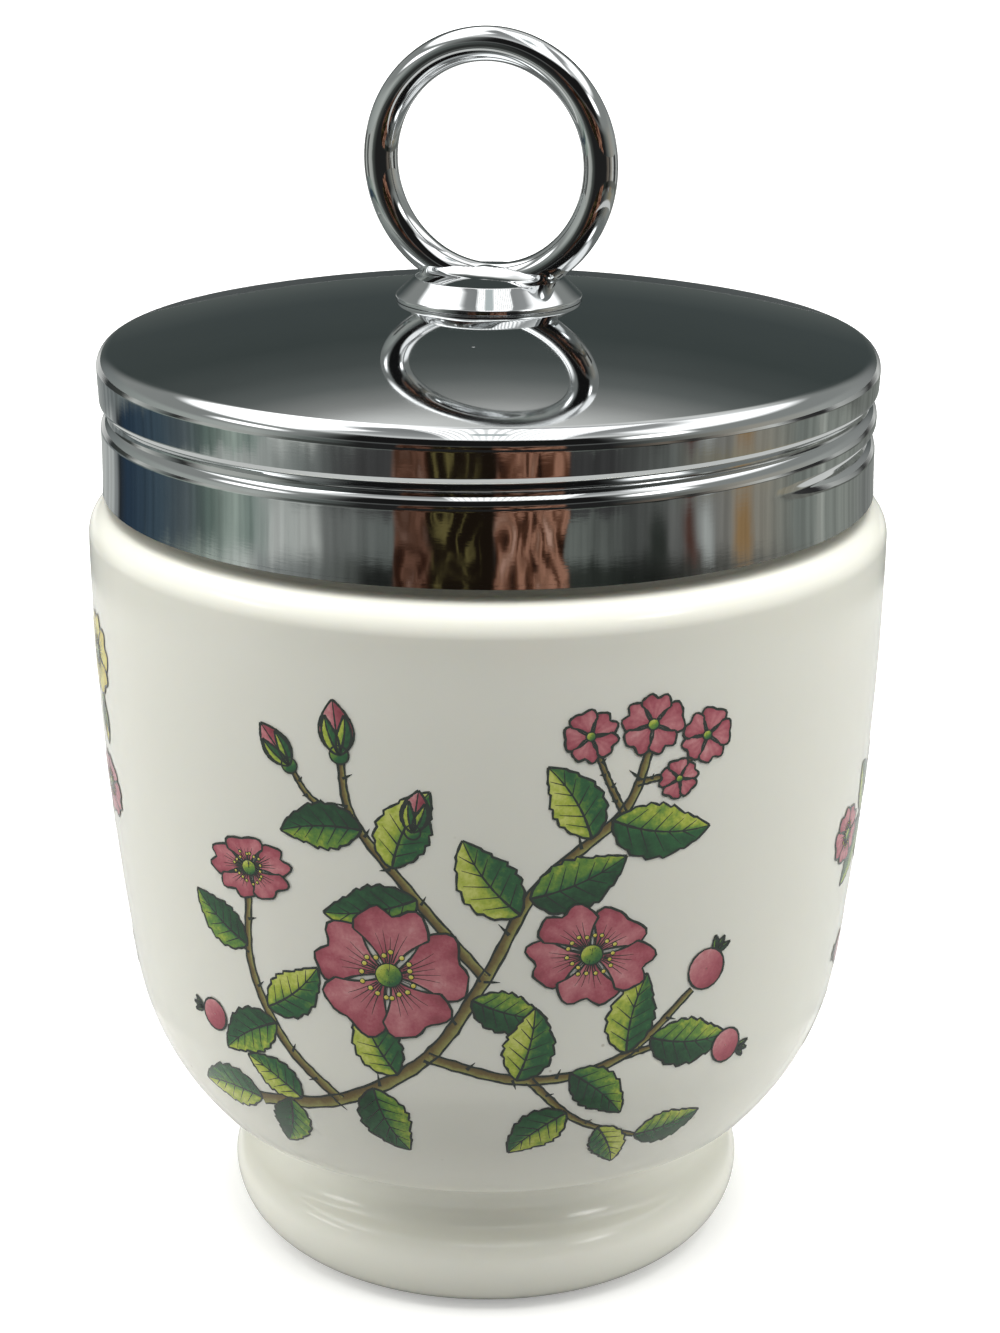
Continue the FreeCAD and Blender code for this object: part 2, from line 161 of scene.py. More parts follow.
def crown_at(radius, depth=0.0):
    return CROWN_CENTRE + math.sqrt((CROWN_BALL - depth) ** 2 - radius**2)


RIM_HEIGHT = crown_at(NECK_RADIUS - RIM_ROUND, SHEET) - SEAT_GAP
WASHER_TOP = crown_at(WASHER_RADIUS, SHEET) - WASHER_GAP
RIVET_TOP = WASHER_TOP - WASHER_THICKNESS - WASHER_GAP


# ---- camera

scene = bpy.context.scene
lens = bpy.data.cameras.new("camera")
lens.sensor_width = 36
lens.lens = LENS
lens.clip_start = 0.01
camera = bpy.data.objects.new("camera", lens)
camera.matrix_world = (
    Matrix.Translation(CAMERA_PLACE)
    @ Matrix.Rotation(math.radians(CAMERA_TURN), 4, "Z")
    @ Matrix.Rotation(math.radians(90 - CAMERA_DIP), 4, "X")
    @ Matrix.Rotation(CAMERA_ROLL, 4, "Z")
)
scene.collection.objects.link(camera)
scene.camera = camera
scene.view_settings.view_transform = "Standard"


# ---- outlines

LINE = ("line",)
LEFT = 1
RIGHT = -1


def left_of(way):
    return np.stack([-way[..., 1], way[..., 0]], axis=-1)


def unit(way):
    return way / np.hypot(*way)


def arc_centre(start, end, radius, turn):
    way = end - start
    half = np.hypot(*way) / 2
    return (start + end) / 2 + left_of(unit(way)) * turn * math.sqrt(radius**2 - half**2)


def arc_points(centre, start, end, turn, step, reach=0.8):
    """Points from start to end about centre, no more than step degrees or reach mm apart."""
    first = math.atan2(*(start - centre)[::-1])
    sweep = (math.atan2(*(end - centre)[::-1]) - first) * turn % (2 * math.pi) * turn
    radius = np.hypot(*(start - centre))
    count = max(2, math.ceil(abs(math.degrees(sweep)) / step), math.ceil(abs(sweep) * radius / reach))
    angles = first + sweep * np.arange(count + 1) / count
    return centre + radius * np.column_stack([np.cos(angles), np.sin(angles)])


def trace(corners, closed, step=3.0):
    """Points along an outline drawn to the left around its inside.

    A corner is (radius, height, edge, rounding), and the edge to the next corner is LINE,
    ("arc", radius, turn) or ("tangent", turn), which runs tangent into the arc after it.
    """
    spots = [np.array(corner[:2], float) for corner in corners]
    count = len(corners) if closed else len(corners) - 1
    edges = []
    for i in range(count - 1, -1, -1):
        start, end, edge = spots[i], spots[(i + 1) % len(spots)], corners[i][2]
        if edge == LINE:
            ways = (unit(end - start), unit(end - start))
            edges.insert(0, (np.array([start, end]), ways, None))
            continue
        turn = edge[-1]
        if edge[0] == "arc":
            centre = arc_centre(start, end, edge[1], turn)
        else:
            normal = unit(end - edges[0][2])
            way = end - start
            centre = end + normal * (way @ way) / (2 * (normal @ (start - end)))
        ways = (unit(left_of(start - centre) * turn), unit(left_of(end - centre) * turn))
        edges.insert(0, (arc_points(centre, start, end, turn, step), ways, centre))
    points = []
    for i in range(count):
        rounding = corners[i][3] if len(corners[i]) > 3 else 0
        trimmed, ways, centre = edges[i]
        if rounding:
            came, goes = edges[i - 1][1][1], ways[0]
            bend = math.atan2(came[0] * goes[1] - came[1] * goes[0], came @ goes)
            back = rounding * math.tan(abs(bend) / 2)
            side = LEFT if bend > 0 else RIGHT
            start = spots[i] - came * back
            middle = start + left_of(came) * side * rounding
            while points and np.hypot(*(points[-1] - spots[i])) < back * 1.3:
                points.pop()
            reach = 0.11 if rounding > 20 else 0.5
            points += list(arc_points(middle, start, spots[i] + goes * back, side, 11.0, reach))
            trimmed = [p for p in trimmed[1:] if np.hypot(*(p - spots[i])) > back * 1.3]
            points += list(trimmed)
        else:
            points += list(trimmed if not points else trimmed[1:])
    if closed and np.hypot(*(points[-1] - points[0])) < 1e-6:
        points.pop()
    return np.array(points)


def divided(points, longest, closed, thread=None):
    """The same outline with long steps divided.

    thread is (low, high, radius, step): within 2 mm of these heights and beyond this radius the
    steps are no longer than step.
    """
    out = []
    for i, start in enumerate(points):
        out.append(start)
        if i == len(points) - 1 and not closed:
            break
        end = points[(i + 1) % len(points)]
        limit = longest
        if thread:
            low, high, radius, step = thread
            radii, heights = zip(start, end)
            if min(heights) > low - 2 and max(heights) < high + 2 and min(radii) > radius:
                limit = step
        pieces = max(1, math.ceil(np.hypot(*(end - start)) / limit))
        out += [start + (end - start) * k / pieces for k in range(1, pieces)]
    return np.array(out)


# ---- meshes


def new_object(name, points, faces):
    mesh = bpy.data.meshes.new(name)
    mesh.from_pydata(points, [], faces)
    thing = bpy.data.objects.new(name, mesh)
    scene.collection.objects.link(thing)
    return thing


def new_piece(name, points, faces, normals, body):
    """A smooth mesh piece from points in millimetres."""
    piece = new_object(name, (points * MM).tolist(), faces)
    piece.data.shade_smooth()
    piece.data.update()
    if normals is not None:
        piece.data.normals_split_custom_set_from_vertices(normals.tolist())
    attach(piece, body)
    return piece


def grid_faces(rows, columns, wrap_rows):
    """Quads of a grid whose columns close on themselves."""
    faces = []
    for i in range(rows if wrap_rows else rows - 1):
        low, high = i * columns, (i + 1) % rows * columns
        for j in range(columns):
            k = (j + 1) % columns
            faces.append((low + j, low + k, high + k, high + j))
    return faces


def wrapped_steps(grid, axis):
    return np.roll(grid, -1, axis=axis) - np.roll(grid, 1, axis=axis)


def grid_normals(first, second):
    normals = np.cross(first, second)
    return (normals / np.linalg.norm(normals, axis=2, keepdims=True)).reshape(-1, 3)


def turned(outline, columns, push=None):
    """Points, faces and normals of an outline turned about the axis.

    push gives how far a point at (angle, radius, height) is moved outwards.  An outline whose two
    ends lie on the axis gets a pole there, and any other outline is closed.
    """
    poles = outline[0][0] < 1e-9
    rows = outline[1:-1] if poles else outline
    angles = np.linspace(0, 2 * math.pi, columns, endpoint=False)
    radius = np.repeat(rows[:, :1], columns, axis=1)
    height = np.repeat(rows[:, 1:], columns, axis=1)
    if push:
        radius = radius + push(np.degrees(angles)[None, :], radius, height)
    grid = np.stack([radius * np.cos(angles), radius * np.sin(angles), height], axis=2)
    if poles:
        ends = [np.broadcast_to([0, 0, outline[k][1]], (1, columns, 3)) for k in (0, -1)]
        padded = np.concatenate([ends[0], grid, ends[1]])
        along = padded[2:] - padded[:-2]
    else:
        along = wrapped_steps(grid, 0)
    points = grid.reshape(-1, 3)
    normals = grid_normals(wrapped_steps(grid, 1), along)
    faces = grid_faces(len(rows), columns, not poles)
    if poles:
        bottom, top = len(points), len(points) + 1
        last = (len(rows) - 1) * columns
        for j in range(columns):
            k = (j + 1) % columns
            faces.append((bottom, k, j))
            faces.append((top, last + j, last + k))
        points = np.vstack([points, [0, 0, outline[0][1]], [0, 0, outline[-1][1]]])
        normals = np.vstack([normals, [0, 0, -1], [0, 0, 1]])
    return points, faces, normals


def helix_share(angle, height, start, start_height, section, run_in):
    """How much of the thread's depth a place has; section gives it for a height off the middle."""
    share = np.zeros(np.broadcast(angle, height).shape)
    full = 360 * TURNS
    for lap in range(-1, 3):
        along = (angle - start) % 360 + 360 * lap
        middle = start_height + PITCH * along / 360
        faded = np.clip(np.maximum(-along / run_in, (along - full) / RUNOUT), 0, 1)
        fade = (1 - faded**2) ** 3
        share = np.maximum(share, fade * section((height - middle) / (0.6 + 0.4 * fade)))
    return share


def ridge_section(across):
    return 0.5 + 0.5 * np.cos(math.pi * np.clip(np.abs(across) / RIDGE_HALF_WIDTH, 0, 1))


def groove_section(across):
    """A full round roll below, a tight root and a flank that bends into the upper edge."""
    rolled = np.clip(across - ROLL_START, 0, ROLL_END - ROLL_START)
    below = ROLL_RADIUS - np.sqrt(ROLL_RADIUS**2 - rolled**2)
    below = below + ROOT_SLOPE * np.clip(across - ROLL_END, 0, ROOT_END - ROLL_END)
    edge = np.clip(GROOVE_TOP - across, 0, GROOVE_TOP - FLANK_END)
    flank = np.clip(FLANK_END - across, 0, FLANK_END - ROOT_END)
    above = FLANK_SLOPE * edge**2 + FLANK_SLOPE * flank - FLANK_BEND * flank**2
    return np.where(across < ROOT_END, below, above) / SECTION_DEPTH


# cup
waist_centre = WAIST_RADIUS + WAIST_ROUND
waist_height = BOWL_EDGE_HEIGHT - WAIST_ROUND
foot_across = waist_centre - FOOT_RADIUS
foot_up = waist_height - FOOT_RIM_HEIGHT
foot_upper = (foot_across**2 + foot_up**2 - WAIST_ROUND**2) / (2 * (WAIST_ROUND - foot_across))
foot_share = foot_upper / (foot_upper + WAIST_ROUND)
foot_step = FOOT_RADIUS - FOOT_GROUND_RADIUS
foot_lower = (foot_step**2 + FOOT_RIM_HEIGHT**2) / (2 * foot_step)
side_start = BELLY_RADIUS - SIDE_ARC + math.sqrt(SIDE_ARC**2 - SIDE_RISE**2)
bottom_step = INSIDE_RADIUS - FLOOR_RADIUS
bottom_arc = ((INSIDE_HEIGHT - FLOOR_HEIGHT) ** 2 + bottom_step**2) / (2 * bottom_step)

FOOT = [
    (0, FOOT_RECESS, LINE),
    (FOOT_RING_INNER_RADIUS, FOOT_RECESS, LINE, FOOT_EDGE_ROUND),
    (FOOT_RING_INNER_RADIUS, 0, LINE, FOOT_EDGE_ROUND),
    (FOOT_GROUND_RADIUS, 0, ("arc", foot_lower, LEFT)),
    (FOOT_RADIUS, FOOT_RIM_HEIGHT, ("arc", foot_upper, LEFT)),
    (
        FOOT_RADIUS - foot_upper + (foot_across + foot_upper) * foot_share,
        FOOT_RIM_HEIGHT + foot_up * foot_share,
        ("arc", WAIST_ROUND, RIGHT),
    ),
    (WAIST_RADIUS, waist_height, ("arc", WAIST_ROUND, RIGHT)),
    (waist_centre, BOWL_EDGE_HEIGHT, LINE),
]
BOWL = [
    (BOWL_EDGE_RADIUS, BOWL_EDGE_HEIGHT, ("tangent", LEFT), BOWL_EDGE_ROUND),
    (side_start, SIDE_START_HEIGHT, ("arc", SIDE_ARC, LEFT)),
    (BELLY_RADIUS, BELLY_HEIGHT, ("arc", SHOULDER_ROUND, LEFT)),
    (BELLY_RADIUS - SHOULDER_ROUND, LEDGE_HEIGHT, LINE),
]
INSIDE = [
    (NECK_RADIUS, LEDGE_HEIGHT, LINE, NECK_ROOT_ROUND),
    (NECK_RADIUS, RIM_HEIGHT, LINE, RIM_ROUND),
    (BORE_RADIUS, RIM_HEIGHT, LINE, RIM_ROUND),
    (BORE_RADIUS, RIM_HEIGHT - BORE_DEPTH, ("arc", INSIDE_ARC, RIGHT)),
    (INSIDE_RADIUS, INSIDE_HEIGHT, ("arc", bottom_arc, RIGHT)),
    (FLOOR_RADIUS, FLOOR_HEIGHT, LINE),
    (0, FLOOR_HEIGHT, LINE),
]


def neck_ridge(angle, radius, height):
    on_neck = (np.abs(radius - NECK_RADIUS) < 0.01) & (height > LEDGE_HEIGHT + 0.4)
    start_height = GROOVE_START_HEIGHT + PITCH / 2 - PITCH * RIDGE_LEAD / 360
    start = GROOVE_START - RIDGE_LEAD
    share = helix_share(angle, height, start, start_height, ridge_section, RUNOUT)
    return np.where(on_neck, RIDGE_REACH * share, 0)


neck_thread = (LEDGE_HEIGHT, RIM_HEIGHT, NECK_RADIUS - 0.05, 0.16)
cup_outline = divided(trace(FOOT + BOWL + INSIDE, closed=False), 1.4, False, neck_thread)
points, faces, normals = turned(cup_outline, COLUMNS, neck_ridge)
cup = new_piece("glazed_cup", points, faces, normals, "cup")
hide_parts("porcelain_cup")

# cap
crown_edge = CROWN_BALL / (CROWN_BALL - BEAD_ROUND)
inner_edge = (CROWN_BALL - SHEET) / (CROWN_BALL - BEAD_ROUND)
CAP = [
    (CAP_HOLE_RADIUS, crown_at(CAP_HOLE_RADIUS, SHEET), ("arc", CROWN_BALL - SHEET, RIGHT)),
    (BEAD_CENTRE * inner_edge, CROWN_CENTRE + (BEAD_HEIGHT - CROWN_CENTRE) * inner_edge,
     ("arc", BEAD_ROUND - SHEET, RIGHT)),
    (BEAD_RADIUS - SHEET, BEAD_HEIGHT, LINE),
    (BAND_RADIUS - SHEET, BAND_HEIGHT, LINE),
    (HEM_RADIUS - SHEET, HEM_HEIGHT, LINE, HEM_ROUND / 2),
    (HEM_RADIUS, HEM_HEIGHT, LINE, HEM_ROUND),
    (BAND_RADIUS, BAND_HEIGHT, LINE, BAND_ROUND),
    (BEAD_RADIUS, BEAD_HEIGHT, ("arc", BEAD_ROUND, LEFT)),
    (BEAD_CENTRE * crown_edge, CROWN_CENTRE + (BEAD_HEIGHT - CROWN_CENTRE) * crown_edge,
     ("arc", CROWN_BALL, LEFT)),
    (CAP_HOLE_RADIUS, crown_at(CAP_HOLE_RADIUS), LINE),
]


def rolled_groove(angle, radius, height):
    on_band = (radius > BAND_RADIUS - SHEET - 0.01) & (height < BEAD_HEIGHT + 0.3)
    share = helix_share(angle, height, GROOVE_START, GROOVE_START_HEIGHT, groove_section, GROOVE_RUN_IN)
    return np.where(on_band, -GROOVE_DEPTH * share, 0)


band_thread = (HEM_HEIGHT, BEAD_HEIGHT, BAND_RADIUS - 0.05, 0.055)
cap_outline = divided(trace(CAP, closed=True, step=2.5), 1.0, True, band_thread)
points, faces, normals = turned(cap_outline, COLUMNS, rolled_groove)
cap = new_piece("chrome_cap_shell", points, faces, normals, "lid")
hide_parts("screw_cap")


# boss: turned, then cut by the ring's wire
def torus(major, minor, columns, rows, wobble=0.0):
    """A ring that stands in the XZ plane about its own middle at the origin."""
    turn = np.linspace(0, 2 * math.pi, columns, endpoint=False)[:, None]
    side = np.linspace(0, 2 * math.pi, rows, endpoint=False)[None, :]
    drift = wobble * (np.sin(2 * turn + 0.6) + 0.6 * np.sin(5 * turn + 1.9) + 0.3 * np.sin(11 * turn))
    reach = major + (minor + 0.35 * drift) * np.cos(side) + drift
    out = (minor + 0.35 * drift) * np.sin(side) + 0.8 * wobble * np.sin(3 * turn + 2.2)
    grid = np.stack([reach * np.sin(turn), out, reach * np.cos(turn)], axis=2)
    normals = grid_normals(wrapped_steps(grid, 1), wrapped_steps(grid, 0))
    return grid.reshape(-1, 3), grid_faces(columns, rows, True), normals


rim_seat = crown_at(BOSS_BASE_RADIUS) + BOSS_SEAT_GAP
rivet_dome = (RIVET_HEAD_RADIUS**2 + RIVET_HEAD_HEIGHT**2) / (2 * RIVET_HEAD_HEIGHT)
boss_dome = BOSS_HEIGHT - BOSS_RIM_HEIGHT
boss_top = (BOSS_RIM_RADIUS**2 + boss_dome**2) / (2 * boss_dome)
BOSS = [
    (0, RIVET_TOP - RIVET_HEAD_HEIGHT, ("arc", rivet_dome, LEFT)),
    (RIVET_HEAD_RADIUS, RIVET_TOP, LINE, 0.08),
    (SHANK_RADIUS, RIVET_TOP, LINE),
    (SHANK_RADIUS, crown_at(SHANK_RADIUS) + BOSS_SEAT_GAP, ("arc", CROWN_BALL + BOSS_SEAT_GAP, RIGHT)),
    (BOSS_BASE_RADIUS, rim_seat, LINE, 0.04),
    (BOSS_BASE_RADIUS, rim_seat + BOSS_LIP, LINE, BOSS_LIP_ROUND),
    (BOSS_RIM_RADIUS, BOSS_RIM_HEIGHT, ("arc", boss_top, LEFT), BOSS_RIM_ROUND),
    (0, BOSS_HEIGHT, LINE),
]
boss_outline = divided(trace(BOSS, closed=False, step=1.2), 0.3, False)
points, faces, normals = turned(boss_outline, BOSS_COLUMNS)


def solder_fillet(points):
    """How far solder that ran round the wire stands up on the boss's top."""
    x, y, z = points.T
    beside = np.clip((np.abs(y) - RING_WIRE + SOLDER_OVERLAP) / SOLDER_SPREAD, 0, 1)
    uneven = 1 + 0.12 * np.sin(1.1 * x + 0.8) + 0.04 * np.sin(3.1 * x + 2.0)
    on_top = np.clip((z - BOSS_RIM_HEIGHT) / 0.02, 0, 1)
    ends = np.clip((SOLDER_END - np.hypot(x, y)) / SOLDER_END_FADE, 0, 1)
    return SOLDER_RISE * uneven * (1 - beside) ** 2 * on_top * ends**2 * (3 - 2 * ends)


points[:, 2] += solder_fillet(points)
boss = new_piece("ring_boss_turned", points, faces, None, "lid")
points, faces, normals = torus(RING_RADIUS, RING_WIRE + SOLDER_GAP, *SADDLE_GRID)
saddle_tool = new_object("saddle_tool", ((points + [0, 0, RING_HEIGHT]) * MM).tolist(), faces)
saddle = boss.modifiers.new("saddle", "BOOLEAN")
saddle.operation = "DIFFERENCE"
saddle.solver = "EXACT"
saddle.object = saddle_tool
bpy.context.view_layer.update()
depsgraph = bpy.context.evaluated_depsgraph_get()
cut_mesh = bpy.data.meshes.new_from_object(boss.evaluated_get(depsgraph))
boss.modifiers.clear()
boss.data = cut_mesh
cut_mesh.name = "ring_boss_turned"
cut_mesh.shade_smooth()
cut_mesh.set_sharp_from_angle(angle=math.radians(BOSS_SHARP_ANGLE))
bpy.data.objects.remove(saddle_tool)
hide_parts("ring_boss")

# finger ring
points, faces, normals = torus(RING_RADIUS, RING_WIRE, *WIRE_GRID, RING_WAVINESS)
points = points + [0, 0, RING_HEIGHT]
ring = new_piece("finger_ring_wire", points, faces, normals, "lid")
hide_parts("finger_ring")


# ---- printed sprays

# Sprays of dog rose in thin inks on the bowl, drawn in millimetres: to the right along the bowl
# and up its side from the edge over the waist.
INKS = ("line", "green", "rose", "yellow", "brown")
INK_LIFT = 0.015  # of the lowest ink over the glaze
LEVEL_LIFT = 0.006  # of a level over the one below
PEN_SWELL = 1.25
SMALL_BLOOM = 2.6  # a rose below this radius gets no stamens
bowl_from = next(
    k for k, (r, z) in enumerate(cup_outline) if r > waist_centre and z > BOWL_EDGE_HEIGHT - 0.01
)
bowl_to = next(k for k, (r, z) in enumerate(cup_outline) if z > LEDGE_HEIGHT - 0.05)
bowl_side = cup_outline[bowl_from : bowl_to + 1]
bowl_way = np.array([unit(way) for way in np.gradient(bowl_side, axis=0)])
bowl_length = np.concatenate([[0], np.cumsum(np.hypot(*np.diff(bowl_side, axis=0).T))])


def on_bowl(across, up, centre, level):
    """Places and normals on the bowl for a print whose middle is at centre degrees."""
    radius = np.interp(up, bowl_length, bowl_side[:, 0])
    height = np.interp(up, bowl_length, bowl_side[:, 1])
    out = np.interp(up, bowl_length, bowl_way[:, 1])
    tilt = np.interp(up, bowl_length, -bowl_way[:, 0])
    angle = math.radians(CAMERA_SIDE + centre) + across / (0.5 * radius + 13.5)
    lift = INK_LIFT + LEVEL_LIFT * level
    radius, height = radius + lift * out, height + lift * tilt
    places = np.stack([radius * np.cos(angle), radius * np.sin(angle), height], axis=-1)
    normals = np.stack([out * np.cos(angle), out * np.sin(angle), tilt], axis=-1)
    return places.reshape(-1, 3), normals.reshape(-1, 3)


def curve(points, count):
    """A smooth path through points."""
    points = np.asarray(points, float)
    padded = np.vstack([2 * points[0] - points[1], points, 2 * points[-1] - points[-2]])
    places = np.linspace(0, len(points) - 1 - 1e-9, count)
    at = places.astype(int)
    u = (places - at)[:, None]
    a, b, c, d = (padded[at + k] for k in range(4))
    return 0.5 * (2 * b + (c - a) * u + (2 * a - 5 * b + 4 * c - d) * u**2
                  + (3 * b - a - 3 * c + d) * u**3)


def pointing(degrees):
    return np.array([math.cos(math.radians(degrees)), math.sin(math.radians(degrees))])


def beside(path, way, offsets):
    """Places to the left of a path's points, a row of them for each point."""
    return path[:, None] + offsets[..., None] * left_of(way)[:, None]


class Spray:
    """Patches of ink that become one piece on the bowl."""

    def __init__(self, centre, seed):
        self.centre = centre
        self.chance = np.random.default_rng(seed)
        self.places, self.normals, self.faces, self.inks, self.shades = [], [], [], [], []
        self.count = 0

    def patch(self, spots, level, ink, shade):
        """A grid of places on the bowl, filled with one ink."""
        places, normals = on_bowl(spots[..., 0], spots[..., 1], self.centre, level)
        self.places.append(places)
        self.normals.append(normals)
        self.shades.append(np.clip(np.broadcast_to(shade, spots.shape[:2]), 0, 1).ravel())
        along, aside = spots[:-1, 1:] - spots[:-1, :-1], spots[1:, :-1] - spots[:-1, :-1]
        left = (left_of(along) * aside).sum(axis=-1) > 0
        columns = spots.shape[1]
        for i, j in np.ndindex(left.shape):
            a = self.count + i * columns + j
            face = (a, a + 1, a + columns + 1, a + columns)
            self.faces.append(face if left[i, j] else face[::-1])
        self.inks += [INKS.index(ink)] * left.size
        self.count += len(places)

    def line(self, path, width, level):
        """A pen line along a path; an array of widths lets it swell and taper."""
        way = np.gradient(path, axis=0)
        way /= np.maximum(np.hypot(*way.T), 1e-6)[:, None]
        half = PEN_SWELL * np.broadcast_to(width, len(path)) / 2
        half = half * (1 + 0.25 * self.chance.uniform(-1, 1, len(path)))
        self.patch(beside(path, way, half[:, None] * np.array([1, 0, -1])), level, "line", 0.5)

    def sides(self, spots, width, level):
        """Pen lines along the two long sides of a patch."""
        for k in (0, -1):
            self.line(spots[:, k], width, level + 0.5)

    def stem(self, points, start, end):
        path = curve(points, 12 * len(points))
        way = np.gradient(path, axis=0)
        way /= np.hypot(*way.T)[:, None]
        off = np.linspace(-1, 1, 5)
        half = np.linspace(start, end, len(path))[:, None] / 2
        knots = 1 + 0.18 * np.cos(np.linspace(0, 9 * len(points), len(path)))[:, None] ** 8
        spots = beside(path, way, off * half * knots)
        self.patch(spots, 0, "brown", 0.55 - 0.4 * off)
        self.sides(spots, 0.13, 0)
        for k in range(6, len(path) - 3, 7):
            tip = path[k] + (way[k] * 0.5 + left_of(way[k]) * (-1) ** k) * start
            self.line(np.array([path[k], (path[k] + tip) / 2, tip]), [0.2, 0.14, 0.03], 0.5)

    def leaf(self, base, turn, length, width, bend, level, light, ink="green", teeth=7):
        u = np.linspace(0, 1, 29)
        angle = np.radians(turn + bend * (u - 0.4))
        way = np.column_stack([np.cos(angle), np.sin(angle)])
        step = way * length / 28
        middle = np.asarray(base) + np.cumsum(step, axis=0) - step[0]
        reach = width / 2 * np.sin(np.pi * u**0.8) ** 0.85
        if teeth:
            reach = reach * (1.06 - 0.16 * (u * teeth % 1))
        v = np.linspace(-1, 1, 9)
        spots = beside(middle, way, v * reach[:, None])
        half = np.sign(v) * (1 - np.exp(-5 * np.abs(v)))
        veins = np.cos(2 * np.pi * (u[:, None] * 5.5 - np.abs(v) * 1.1)) * np.abs(v)
        shade = light + 0.3 * half + 0.13 * veins + 0.2 * (u[:, None] - 0.5)
        self.patch(spots, level, ink, shade)
        self.sides(spots, 0.14, level)
        self.line(middle, np.linspace(0.16, 0.06, len(u)), level + 0.5)
        if teeth:
            for k in range(4, 22, 4):
                for j in (1, 7):
                    vein = np.linspace(middle[k], spots[k + 4, j], 4)
                    self.line(vein, [0.09, 0.07, 0.05, 0.03], level + 0.5)

    def petal(self, centre, radius, turn, spread, level, ink, squash, lean):
        ray = np.linspace(0.08, 1, 9)[:, None]
        beta = np.linspace(-1, 1, 15)[None, :]
        ruffle = 0.03 * np.sin(9 * beta + self.chance.uniform(0, 6))
        edge = radius * (1 - 0.13 * np.exp(-((beta / 0.22) ** 2)) - 0.26 * beta**4 + ruffle)
        angle = np.radians(turn + beta * spread * (0.5 + 0.5 * ray))
        spots = (ray * edge)[..., None] * np.stack([np.cos(angle), np.sin(angle)], axis=-1)
        tilt = pointing(lean)
        spots = spots + centre + (spots @ tilt * (squash - 1))[..., None] * tilt
        shade = 0.62 - 0.5 * np.exp(-((ray / 0.3) ** 2)) - 0.3 * ray**5
        self.patch(spots, level, ink, shade + 0.1 * np.cos(11 * beta) * ray - 0.16 * beta)
        self.line(spots[-1], 0.14, level + 0.5)
        self.sides(spots, 0.12, level)
        if radius > SMALL_BLOOM:
            for k in (3, 5, 7, 9, 11):
                self.line(spots[1:6, k], np.linspace(0.08, 0.02, 5), level + 0.5)

    def disc(self, centre, radius, level, ink, light, outline, tall=1.0):
        ray = np.linspace(0.03, 1, 6)[:, None]
        angle = np.linspace(0, 2 * np.pi, 19)[None, :]
        spots = np.stack([ray * np.cos(angle), tall * ray * np.sin(angle)], axis=-1)
        spots = centre + radius * spots
        self.patch(spots, level, ink, light + 0.35 * ray * np.cos(angle - 2.2))
        self.line(spots[-1], outline, level + 0.5)

    def bloom(self, centre, radius, turn, ink, level, squash=1.0, lean=90.0):
        for k, above in enumerate((0, 1, 0, 1, 2)):
            length = radius * self.chance.uniform(0.94, 1.04)
            self.petal(centre, length, turn + 72 * k, 39.6, level + above, ink, squash, lean)
        self.disc(centre, 0.17 * radius, level + 3, "green", 0.6, 0.08)
        if radius < SMALL_BLOOM:
            return
        for k in range(18):
            way = pointing(20 * k + self.chance.uniform(-5, 5))
            tip = centre + radius * self.chance.uniform(0.27, 0.38) * way
            self.line(np.linspace(centre, tip, 4), 0.05, level + 3)
            self.disc(tip, 0.035 * radius, level + 3.5, "yellow", 0.6, 0.05)

    def bud(self, base, turn, size, ink):
        self.leaf(base, turn, size, 0.62 * size, 0, 4, 0.45, ink, 0)
        for side in (-1, 1):
            self.leaf(base, turn + 17 * side, 0.75 * size, 0.26 * size, -30 * side, 5, 0.5, "green", 0)
        self.disc(base, 0.17 * size, 5, "green", 0.5, 0.1)

    def hip(self, centre, radius, turn):
        end = centre + radius * pointing(turn)
        for side in (-35, 0, 35):
            self.leaf(end - 0.1, turn + side, 0.9 * radius, 0.35 * radius, 0, 4, 0.3, "green", 0)
        self.disc(centre, radius, 5, "rose", 0.5, 0.14, 1.08)

    def finish(self, name):
        places, normals = np.vstack(self.places), np.vstack(self.normals)
        piece = new_piece(name, places, self.faces, normals, "cup")
        piece.data.polygons.foreach_set("material_index", self.inks)
        shade = piece.data.attributes.new("shade", "FLOAT", "POINT")
        shade.data.foreach_set("value", np.concatenate(self.shades))
        return piece


